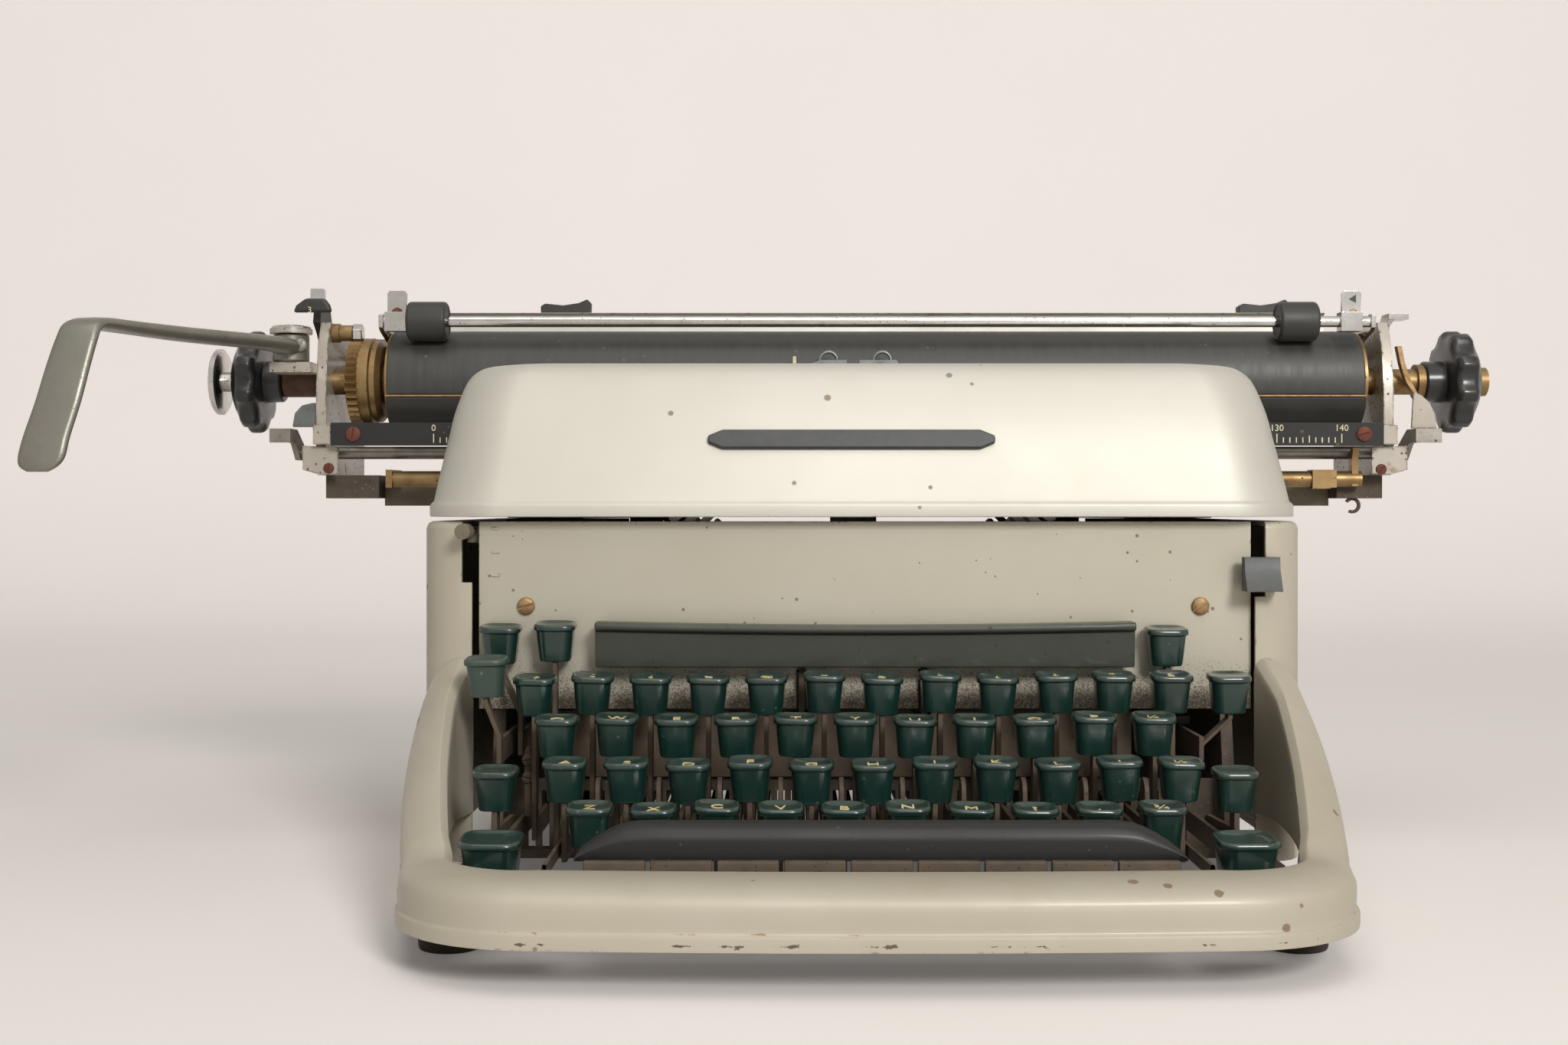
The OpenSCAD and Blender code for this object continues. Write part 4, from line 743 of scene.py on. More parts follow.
class Shape:
    """A mesh on the bench, in millimetres, shaped with Blender's own tools."""

    def __init__(self, obj: bpy.types.Object) -> None:
        """Keeps the object that is being shaped.

        Args:
            obj: A mesh object.
        """
        self.obj = obj

    @classmethod
    def box(cls, low: Point, high: Point) -> "Shape":
        """Starts from a box between two corners.

        Args:
            low: Lowest corner.
            high: Highest corner.

        Returns:
            The shape.
        """
        clear_selection()
        middle = [(a + b) / 2 for a, b in zip(low, high)]
        size = [b - a for a, b in zip(low, high)]
        bpy.ops.mesh.primitive_cube_add(size=1.0, location=middle, scale=size)
        bpy.ops.object.transform_apply(location=True, rotation=True, scale=True)
        return cls(bpy.context.object)

    @classmethod
    def rod(cls, start: Point, end: Point, radius: float, sides: int = 32) -> "Shape":
        """Starts from a round rod between two points.

        Args:
            start: Middle of one end.
            end: Middle of the other end.
            radius: Radius.
            sides: Number of sides.

        Returns:
            The shape.
        """
        clear_selection()
        line = Vector(end) - Vector(start)
        bpy.ops.mesh.primitive_cylinder_add(
            vertices=sides, radius=radius, depth=line.length, location=(Vector(start) + Vector(end)) / 2,
            rotation=line.to_track_quat("Z", "Y").to_euler())
        bpy.ops.object.transform_apply(location=True, rotation=True, scale=True)
        return cls(bpy.context.object)

    @classmethod
    def chain(cls, points: Sequence[Point], closed: bool = False) -> "Shape":
        """Draws a chain of edges by extruding a single vertex.

        Args:
            points: Points of the chain.
            closed: Whether the last point joins the first.

        Returns:
            The shape.
        """
        clear_selection()
        bpy.ops.mesh.primitive_plane_add(size=1.0)
        shape = cls(bpy.context.object)
        with shape.edit():
            everything()
            bpy.ops.mesh.merge(type="CENTER")
            bpy.ops.transform.translate(value=points[0])
            for before, after in zip(points, points[1:]):
                extrude(Vector(after) - Vector(before))
            if closed:
                shape.nearest([points[0], points[-1]])
                bpy.ops.mesh.edge_face_add()
        return shape

    @classmethod
    def plate(cls, outline: Sequence[Point], push: Point) -> "Shape":
        """Fills an outline and extrudes it to a plate.

        Args:
            outline: Corners of the outline.
            push: Way and length of the extrusion.

        Returns:
            The shape.
        """
        shape = cls.chain(outline, closed=True)
        with shape.edit():
            everything()
            bpy.ops.mesh.edge_face_add()
            extrude(push)
            shape.tidy()
        return shape

    @classmethod
    def sheet(cls, outline: Sequence[Flat], y: float, depth: float) -> "Shape":
        """Fills an outline that faces the front and extrudes it backwards.

        Args:
            outline: Corners as places across and heights.
            y: Place of the front face.
            depth: Thickness.

        Returns:
            The shape.
        """
        return cls.plate([(x, y, z) for x, z in outline], (0, depth, 0))

    @classmethod
    def lathe(cls, profile: Sequence[Flat], start: Point, axis: Point, steps: int = 48) -> "Shape":
        """Spins a profile about an axis.

        Args:
            profile: Places along the axis with their radii.
            start: Point on the axis that the places count from.
            axis: Direction of the axis.
            steps: Steps of the full turn.

        Returns:
            The shape.
        """
        way = Vector(axis).normalized()
        out = way.orthogonal().normalized()
        shape = cls.chain([tuple(Vector(start) + way * p + out * r) for p, r in profile])
        with shape.edit():
            everything()
            bpy.ops.mesh.spin(steps=steps, angle=math.tau, center=start, axis=way)
            shape.tidy()
        return shape

    @classmethod
    def loft(cls, rings: Sequence[Sequence[Point]], closed: bool = False, capped: bool = False) -> "Shape":
        """Draws the first ring and extrudes it through the others.

        Args:
            rings: Rings with the same number of points each.
            closed: Whether each ring closes on itself.
            capped: Whether the first and the last ring are filled.

        Returns:
            The shape.
        """
        shape = cls.chain(rings[0], closed)
        with shape.edit():
            everything()
            for before, after in zip(rings, rings[1:]):
                bpy.ops.mesh.extrude_region_move()
                tree = KDTree(len(before))
                for index, point in enumerate(before):
                    tree.insert(point, index)
                tree.balance()
                mesh = bmesh.from_edit_mesh(shape.obj.data)
                for vertex in mesh.verts:
                    if vertex.select:
                        vertex.co = after[tree.find(vertex.co)[1]]
            bmesh.update_edit_mesh(shape.obj.data)
            if capped:
                for ring in (rings[0], rings[-1]):
                    shape.nearest(ring)
                    bpy.ops.mesh.edge_face_add()
            shape.tidy()
        return shape

    @classmethod
    def text(cls, words: str, size: float, stand: bool, lift: float) -> "Shape":
        """Cuts letters as a thin mesh, centred on the origin.

        Args:
            words: The letters.
            size: Height of the type.
            stand: Whether the letters stand up and face the front.
            lift: Thickness of the letters.

        Returns:
            The shape.
        """
        clear_selection()
        bpy.ops.object.text_add()
        obj = bpy.context.object
        obj.data.body = words
        obj.data.size = size
        obj.data.align_x, obj.data.align_y = "CENTER", "CENTER"
        obj.data.extrude = lift / 2
        obj.data.space_line = 0.75
        obj.data.resolution_u = 3
        bpy.ops.object.convert(target="MESH")
        shape = cls(bpy.context.object)
        if stand:
            shape.obj.data.transform(Matrix.Rotation(math.pi / 2, 4, "X"))
        return shape

    @classmethod
    def refined(cls, node: str, width: float = 0.3, keep: CornerTest | None = None) -> "Shape":
        """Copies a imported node, merges its triangles and rounds its edges.

        Args:
            node: Name of the node.
            width: Width of the rounding.
            keep: Says from a face's corners, in bench millimetres, whether the face stays.

        Returns:
            The shape.
        """
        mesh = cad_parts[node].data.copy()
        mesh.transform(ROW_TO_BENCH)
        mesh.materials.clear()
        obj = bpy.data.objects.new(node + "_copy", mesh)
        bpy.context.scene.collection.objects.link(obj)
        shape = cls(obj)
        shape.take()
        with shape.edit():
            everything()
            bpy.ops.mesh.remove_doubles(threshold=0.002)
            if keep is not None:
                shape.drop(lambda corners: not keep(corners))
            everything()
            bpy.ops.mesh.dissolve_limited(angle_limit=math.radians(1.5))
        shape.round_edges(width)
        return shape

    def take(self) -> None:
        """Selects the shape alone and makes it the active one."""
        clear_selection()
        self.obj.select_set(True)
        bpy.context.view_layer.objects.active = self.obj

    @contextmanager
    def edit(self) -> Iterator[None]:
        """Opens the mesh for editing and closes it afterwards.

        Yields:
            Nothing.
        """
        bpy.context.view_layer.objects.active = self.obj
        bpy.ops.object.mode_set(mode="EDIT")
        bpy.ops.mesh.select_mode(type="VERT")
        yield
        bpy.ops.object.mode_set(mode="OBJECT")

    def tidy(self) -> None:
        """Merges doubles and turns the faces outwards, in edit mode."""
        bpy.ops.mesh.select_mode(type="VERT")
        everything()
        bpy.ops.mesh.remove_doubles(threshold=0.001)
        bpy.ops.mesh.normals_make_consistent(inside=False)

    def nearest(self, points: Sequence[Point]) -> None:
        """Selects the vertices nearest to points, in edit mode.

        Args:
            points: The points.
        """
        bpy.ops.mesh.select_mode(type="VERT")
        bpy.ops.mesh.select_all(action="DESELECT")
        mesh = bmesh.from_edit_mesh(self.obj.data)
        tree = KDTree(len(mesh.verts))
        for index, vertex in enumerate(mesh.verts):
            tree.insert(vertex.co, index)
        tree.balance()
        mesh.verts.ensure_lookup_table()
        for point in points:
            mesh.verts[tree.find(point)[1]].select_set(True)
        mesh.select_flush(True)
        bmesh.update_edit_mesh(self.obj.data)

    def pick(self, test: Callable[[bmesh.types.BMFace], bool]) -> None:
        """Selects the faces that pass a test, in edit mode.

        Args:
            test: The test.
        """
        bpy.ops.mesh.select_mode(type="FACE")
        bpy.ops.mesh.select_all(action="DESELECT")
        mesh = bmesh.from_edit_mesh(self.obj.data)
        for face in mesh.faces:
            if test(face):
                face.select_set(True)
        bmesh.update_edit_mesh(self.obj.data)

    def drop(self, test: CornerTest) -> None:
        """Deletes the faces whose corners pass a test, in edit mode.

        Args:
            test: The test.
        """
        self.pick(lambda face: test([vertex.co for vertex in face.verts]))
        bpy.ops.mesh.delete(type="FACE")

    def cut(self, place: Point, normal: Point) -> None:
        """Cuts the whole mesh along a plane without removing anything, in edit mode.

        Args:
            place: A point of the plane.
            normal: The plane's normal.
        """
        everything()
        bpy.ops.mesh.bisect(plane_co=place, plane_no=normal)

    def modifier(self, kind: str, **settings: object) -> "Shape":
        """Adds a modifier and applies it.

        Args:
            kind: The modifier's type.
            settings: Its attributes.

        Returns:
            The shape.
        """
        self.take()
        added = self.obj.modifiers.new(kind.lower(), kind)
        for name, value in settings.items():
            setattr(added, name, value)
        bpy.ops.object.modifier_apply(modifier=added.name)
        return self

    def round_edges(self, width: float, segments: int = 2, angle: float = 32.0) -> "Shape":
        """Bevels the sharp edges and shades the mesh smoothly.

        Args:
            width: Width of the bevel.
            segments: Its segments.
            angle: Least angle of a sharp edge in degrees.

        Returns:
            The shape.
        """
        self.modifier("BEVEL", width=width, segments=segments, limit_method="ANGLE",
                      angle_limit=math.radians(angle), miter_outer="MITER_ARC")
        return self.smooth()

    def smooth(self, angle: float = 40.0) -> "Shape":
        """Shades the mesh smoothly, except across sharp edges, with flats kept flat.

        Args:
            angle: Least angle of a sharp edge in degrees.

        Returns:
            The shape.
        """
        self.take()
        bpy.ops.object.shade_smooth_by_angle(angle=math.radians(angle))
        return self.modifier("WEIGHTED_NORMAL", keep_sharp=True)

    def face_out(self, probe: Point, way: Point) -> None:
        """Turns an open shell so that the face nearest to a point looks a given way.

        Args:
            probe: The point.
            way: Direction that the face should look.
        """
        faces = self.obj.data.polygons
        near = min(faces, key=lambda f: (f.center - Vector(probe)).length)
        if near.normal.dot(Vector(way)) < 0:
            with self.edit():
                everything()
                bpy.ops.mesh.flip_normals()

    def moved(self, matrix: Matrix) -> "Shape":
        """Moves the mesh by a matrix and returns the shape."""
        self.obj.data.transform(matrix)
        return self

    def twin(self, matrix: Matrix) -> "Shape":
        """Copies the shape with its own mesh and moves the copy.

        Args:
            matrix: The move.

        Returns:
            The copy.
        """
        obj = self.obj.copy()
        obj.data = self.obj.data.copy()
        obj.data.transform(matrix)
        bpy.context.scene.collection.objects.link(obj)
        return Shape(obj)

    def discard(self) -> None:
        """Removes the shape, once its copies are made."""
        bpy.data.objects.remove(self.obj)


def joined(shapes: Sequence[Shape]) -> Shape:
    """Joins shapes into the first one.

    Args:
        shapes: The shapes.

    Returns:
        The joined shape.
    """
    clear_selection()
    for shape in shapes:
        shape.obj.select_set(True)
    bpy.context.view_layer.objects.active = shapes[0].obj
    if len(shapes) > 1:
        bpy.ops.object.join()
    return shapes[0]


def hand_over(
    shape: Shape, name: str, body: Body, finish: Finish, nodes: Sequence[str] = (),
) -> None:
    """Sets a finished shape down in the row frame, on its body.

    Args:
        shape: The finished shape.
        name: Name of the piece.
        body: Body that it rides on.
        finish: Its finish.
        nodes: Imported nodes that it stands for.
    """
    obj = shape.obj
    obj.data.transform(BENCH_TO_ROW)
    obj.name = obj.data.name = name
    bare(obj.data, finish)
    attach(obj, body.value)
    if nodes:
        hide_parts(*nodes)
    LOG.info("%s rides on %s with %d faces", name, body.value, len(obj.data.polygons))


def dress(node: str, finish: Finish) -> None:
    """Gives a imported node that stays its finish.

    Args:
        node: Name of the node.
        finish: Its finish.
    """
    bare(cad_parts[node].data, finish)
    LOG.info("%s stays, in %s", node, finish.name)


def refine(node: str, body: Body, finish: Finish, width: float = 0.3) -> None:
    """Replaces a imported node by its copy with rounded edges.

    Args:
        node: Name of the node.
        body: Body that it rides on.
        finish: Its finish.
        width: Width of the rounding.
    """
    hand_over(Shape.refined(node, width), node + "_piece", body, finish, [node])


def slotted_screw(head: Point, way: Point, radius: float, height: float, turn: float) -> Shape:
    """Makes the round head of a slotted screw.

    Args:
        head: Middle of the head's seat.
        way: Direction that the head looks.
        radius: Radius of the head.
        height: Height of the head.
        turn: Angle of the slot in degrees.

    Returns:
        The shape.
    """
    low = 0.12 * radius
    profile = [(0.0, 0.0), (0.0, radius), (height - 2 * low, radius), (height - low, radius - low * 0.5),
               (height, radius - 2.5 * low), (height, 0.0)]
    screw = Shape.lathe(profile, (0, 0, 0), (0, 0, 1), 24)
    long, half = radius * 1.2, 0.13 * radius
    slot = Shape.box((-long, -half, height * 0.45), (long, half, height * 2))
    screw.modifier("BOOLEAN", object=slot.obj, operation="DIFFERENCE", solver="EXACT")
    slot.discard()
    screw.smooth(35.0)
    look = Vector(way).to_track_quat("Z", "Y").to_matrix().to_4x4()
    return screw.moved(Matrix.Translation(head) @ look @ Matrix.Rotation(math.radians(turn), 4, "Z"))


def front_screw(head: Point, radius: float, height: float, turn: float) -> Shape:
    """Makes the head of a slotted screw that looks to the front.

    Args:
        head: Middle of its lower face.
        radius: Radius of the head.
        height: Height of the head.
        turn: Turn of the slot in degrees.

    Returns:
        The shape.
    """
    return slotted_screw(head, (0, -1, 0), radius, height, turn)


# Case


@dataclass
class Surround:
    """Moulded band round the keyboard, open at the back, with a bead along its lower edge.

    Attributes:
        half_width: Half width at the front corners.
        flare: Further half width at the cheeks' ends.
        corner: Radius of the front corners.
        foot: Height of the lower edge.
        rim_top: Height of the front rim.
        cheek_top: Height of the cheeks' ends.
        cheek_end: Place of the cheeks' ends.
        front_band: Width of the band at the front.
        side_band: Width of the band at the sides.
        sheet: Thickness of the sheet.
    """

    half_width: float = 140.0
    flare: float = 10.0
    corner: float = 44.0
    foot: float = 13.0
    rim_top: float = 31.0
    cheek_top: float = 82.0
    cheek_end: float = 129.7
    front_band: float = 24.0
    side_band: float = 14.7
    sheet: float = 1.5

    def stations(self) -> list[tuple[Flat, Flat, float]]:
        """Gives place, outward direction and band width from the middle to the right cheek's end."""
        mid_x, mid_y = self.half_width - self.corner, self.corner + 3.0
        run = self.cheek_end - mid_y
        found = [((mid_x * i / 8, 3 * (i / 8) ** 2), (0.0, -1.0), self.front_band) for i in range(8)]
        for i in range(13):
            a = math.radians(7.5 * i)
            out = (math.sin(a), -math.cos(a))
            band = self.front_band + (self.side_band - self.front_band) * i / 13
            found.append(((mid_x + self.corner * out[0], mid_y + self.corner * out[1]), out, band))
        for i in range(1, 15):
            t = i / 14
            x = self.half_width + self.flare * (1 - (1 - t) ** 2)
            found.append(((x, mid_y + run * t), (1.0, 0.0), self.side_band + 3.0 * max(0.0, t - 0.8) / 0.2))
        return found

    def section(self, station: tuple[Flat, Flat, float], side: int) -> list[Point]:
        """Gives the outer skin of the band at a station, from the bead over the crest to the inner wall.

        Args:
            station: Place, outward direction and band width.
            side: 1 on the right and -1 on the left.

        Returns:
            The points.
        """
        (x, y), (out_x, out_y), band = station
        crest = self.rim_top + (self.cheek_top - self.rim_top) * max(0.0, (y - 42) / (self.cheek_end - 42))
        high = crest - self.foot
        narrow = (self.front_band - min(band, self.front_band)) / (self.front_band - self.side_band)
        peak = 0.6 + 0.16 * narrow
        roll = flowing([
            (0.0, self.foot + 5.2), (0.0, self.foot + 0.68 * high), (2.4, self.foot + 0.85 * high),
            (7.0, self.foot + 0.955 * high), (band * min(peak, 0.76), crest), (band - 2.4, crest - 0.3),
            (band - 0.4, crest - 2.2),
        ], 4)
        line = [(-1.0, self.foot), (-1.1, self.foot + 0.6), (-1.1, self.foot + 3.4), (-0.9, self.foot + 4.2),
                (-0.2, self.foot + 4.7), *roll, (band, crest - 4.5), (band, min(self.foot + 17, crest - 7))]
        return [(side * (x - out_x * u), y - out_y * u, z) for u, z in line]

    def build(self) -> None:
        """Builds the band and hands it over."""
        stations = self.stations()
        rings = [self.section(s, 1) for s in reversed(stations)] + [self.section(s, -1) for s in stations[1:]]
        band = Shape.loft(rings)
        band.face_out((0.0, 0.0, self.foot + 8), (0, -1, 0))
        band.modifier("SOLIDIFY", thickness=self.sheet, offset=-1.0, use_even_offset=True)
        band.round_edges(0.35, 2, 50.0)
        hand_over(band, "surround_band", Body.FRAME, RIM_ENAMEL_SHADED, ["keyboard_surround"])


@dataclass
class CasePanels:
    """Side, front and rear panels of the case with their screws and feet.

    Attributes:
        half: Half width of the case.
        inner: Distance of the front strips' inner edges from the middle.
        front: Place of the side panels' front faces.
        back: Place of the side panels' back faces.
        foot: Height of the lower edges.
        top: Height of the upper edges.
        corner: Radius of the upright corners.
        sheet: Thickness of the sheet.
        slot_edge: Distance from the strips' inner edges to the slots' outer edges.
        slot_depth: How far the slots reach round behind the strips.
        gap: How far the front panel's left edge is drawn in.
    """

    half: float = 151.0
    inner: float = 132.9
    front: float = 130.0
    back: float = 320.2
    foot: float = 13.0
    top: float = 128.5
    corner: float = 16.0
    sheet: float = 1.5
    slot_edge: float = 3.5
    slot_depth: float = 14.0
    gap: float = 1.2

    def outline(self, inset: float, z: float, side: int) -> list[Point]:
        """Gives a side panel's outline at one height, from its front strip round to its rear strip.

        Args:
            inset: Distance inwards.
            z: Height.
            side: 1 on the right and -1 on the left.

        Returns:
            The points.
        """
        x, y0, y1 = self.half - inset, self.front + inset, self.back - inset
        r = self.corner - inset
        flat = [(self.inner, y0), (self.half - self.corner - 0.4, y0), *arc((x - r, y0 + r), r, -90, 0, 12),
                *arc((x - r, y1 - r), r, 0, 90, 12), (self.inner, y1)]
        return [(side * px, py, z) for px, py in flat]

    def side_panel(self, side: int, slot_bottom: float, name: str, node: str) -> None:
        """Builds a side panel with the slot for its selector.

        Args:
            side: 1 on the right and -1 on the left.
            slot_bottom: Height of the slot's lower end.
            name: Name of the piece.
            node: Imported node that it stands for.
        """
        levels = [(0.0, self.foot), (0.0, self.foot + 20), (0.0, self.top - 2.6), (0.3, self.top - 1.5),
                  (1.0, self.top - 0.5), (2.2, self.top), (12.0, self.top)]
        panel = Shape.loft([self.outline(inset, z, side) for inset, z in levels])
        panel.face_out((side * self.half, 220.0, 60.0), (side, 0, 0))
        slot_out, slot_back = self.inner + self.slot_edge, self.front + self.slot_depth
        with panel.edit():
            panel.cut((side * slot_out, 0, 0), (1, 0, 0))
            panel.cut((0, 0, slot_bottom), (0, 0, 1))
            panel.cut((0, slot_back, 0), (0, 1, 0))
            panel.drop(lambda corners: all(
                abs(c.x) < slot_out + 0.01 and c.y < slot_back + 0.01 and c.z > slot_bottom - 0.01
                for c in corners))
        panel.modifier("SOLIDIFY", thickness=self.sheet, offset=-1.0, use_even_offset=True)
        panel.round_edges(0.3, 2, 50.0)
        hand_over(panel, name, Body.FRAME, RIM_ENAMEL_SHADED, [node])

    def front_panel(self) -> None:
        """Rounds the front panel, draws in its left edge and adds three marks beside the selector."""
        panel = Shape.refined("front_panel", 0.5)
        for vertex in panel.obj.data.vertices:
            vertex.co.x += self.gap if vertex.co.x < -129.0 else 0.0
        marks = [Shape.box((-127.0, 133.6, z - 0.45), (-124.0, 134.2, z + 0.45)).round_edges(0.25)
                 for z in (126.0, 118.0, 110.0)]
        panel = joined([panel, *marks])
        hand_over(panel, "front_panel_piece", Body.FRAME, PANEL_ENAMEL_SHADED, ["front_panel"])

    def build(self) -> None:
        """Builds the panels, screws and feet."""
        self.side_panel(-1, 107.8, "left_side_piece", "left_side_panel")
        self.side_panel(1, 103.0, "right_side_piece", "right_side_panel")
        self.front_panel()
        refine("rear_panel", Body.FRAME, ENAMEL, 0.4)
        refine("rubber_feet", Body.FRAME, FOOT_RUBBER, 0.8)
        heads = [front_screw((x, 134.0, 99.6), 3.0, 1.6, turn) for x, turn in ((-115.0, 20.0), (115.0, 35.0))]
        hand_over(joined(heads), "panel_screw_heads", Body.FRAME, OLD_BRASS, ["panel_screws"])


@dataclass
class TopCover:
    """Hinged cover over the type basket, with a bead round its lip and a plain bar.

    Attributes:
        half: Half width at the lip.
        front: Place of the lip's front.
        back: Place of the rear edge.
        lip: Height of the lip.
        top: Height of the flat top.
        corner: Radius of the upright corners.
        sheet: Thickness of the sheet.
    """

    half: float = 150.0
    front: float = 127.0
    back: float = 222.0
    lip: float = 130.0
    top: float = 184.0
    corner: float = 26.0
    sheet: float = 1.5

    def outline(self, side_lean: float, front_lean: float, z: float) -> list[Point]:
        """Gives the cover's outline at one height, from its right rear corner round the front.

        Args:
            side_lean: How far the sides lean in.
            front_lean: How far the front leans back.
            z: Height.

        Returns:
            The points.
        """
        x, y = self.half - side_lean, self.front + front_lean
        r = max(8.0, self.corner - side_lean / 3)
        right = [(x, self.back), (x, (self.back + y + r) / 2), *arc((x - r, y + r), r, 0, -90, 12)]
        left = [(-px, py) for px, py in reversed(right)]
        return [(px, py, z) for px, py in [*right, (0.5 * (x - r), y), (0.0, y), (-0.5 * (x - r), y), *left]]

    def badge(self) -> Shape:
        """Makes the plain bar on the cover's front."""
        bar = Shape.box((-49.0, -1.3, -3.4), (49.0, 1.3, 3.4))
        with bar.edit():
            for x in (44, -44):
                bar.cut((x, 0, 0), (1, 0, 0))
            bar.pick(lambda face: abs(face.normal.x) > 0.9)
            bpy.ops.transform.resize(value=(1.0, 1.0, 0.35), center_override=(0, 0, 0))
        bar.round_edges(0.7, 3, 20.0)
        lean = Matrix.Rotation(math.radians(-18.0), 4, "X")
        return bar.moved(Matrix.Translation((-4.0, 133.6, 156.4)) @ lean)

    def build(self) -> None:
        """Builds the cover's shell, ears and plain bar."""
        upper = flowing([(5.6, 0.4, 0.4), (16, 2.2, 4), (27, 4.4, 7.5), (36, 6, 11), (45, 8.7, 15.5),
                         (49.4, 10.9, 18.5), (52, 13.8, 21.2), (53.2, 17, 23.5), (54, 24, 28)], 3)
        bead = [(0, -0.6, -0.6), (0.5, -0.9, -0.9), (3.8, -0.9, -0.9), (4.6, -0.5, -0.5), (5.1, 0.1, 0.1)]
        levels = [*bead, *upper]
        shell = Shape.loft([self.outline(side, front, self.lip + rise) for rise, side, front in levels])
        with shell.edit():
            shell.nearest(self.outline(*levels[-1][1:], self.top))
            bpy.ops.mesh.edge_face_add()
            bpy.ops.mesh.inset(thickness=6.0, depth=0.0)
            shell.tidy()
        shell.face_out((0.0, self.front + 5, self.lip + 20), (0, -1, 0))
        shell.modifier("SOLIDIFY", thickness=self.sheet, offset=-1.0, use_even_offset=True)
        shell.round_edges(0.3, 2, 50.0)
        hand_over(shell, "cover_shell", Body.COVER, ENAMEL, ["top_cover"])
        ear = ((212.0, 176.0), (221.5, 176.0), (221.5, 182.7), (212.0, 182.7))
        ears = [Shape.plate([(x, y, z) for y, z in ear], (4, 0, 0)) for x in (117.5, -121.5)]
        hand_over(joined(ears).round_edges(0.6), "cover_ears", Body.COVER, ENAMEL)
        hand_over(self.badge(), "badge_bar", Body.COVER, BADGE)


# Keyboard


@dataclass(frozen=True)
class Finger:
    """Keys that one finger works.

    Attributes:
        name: Name of the finger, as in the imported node.
        body: Body of its keys.
        columns: Columns of its keys in each row, the front row first.
    """

    name: str
    body: Body
    columns: tuple[tuple[int, ...], ...]


FINGERS = (
    Finger("left_little", Body.LEFT_LITTLE, ((0,), (0,), (0,), (0, 1))),
    Finger("left_ring", Body.LEFT_RING, ((1,), (1,), (1,), (2,))),
    Finger("left_middle", Body.LEFT_MIDDLE, ((2,), (2,), (2,), (3,))),
    Finger("left_index", Body.LEFT_INDEX, ((3, 4), (3, 4), (3, 4), (4, 5))),
    Finger("right_index", Body.RIGHT_INDEX, ((5, 6), (5, 6), (5, 6), (6, 7))),
    Finger("right_middle", Body.RIGHT_MIDDLE, ((7,), (7,), (7,), (8,))),
    Finger("right_ring", Body.RIGHT_RING, ((8,), (8,), (8,), (9,))),
    Finger("right_little", Body.RIGHT_LITTLE, ((9,), (9, 10), (9, 10), (10, 11))),
)


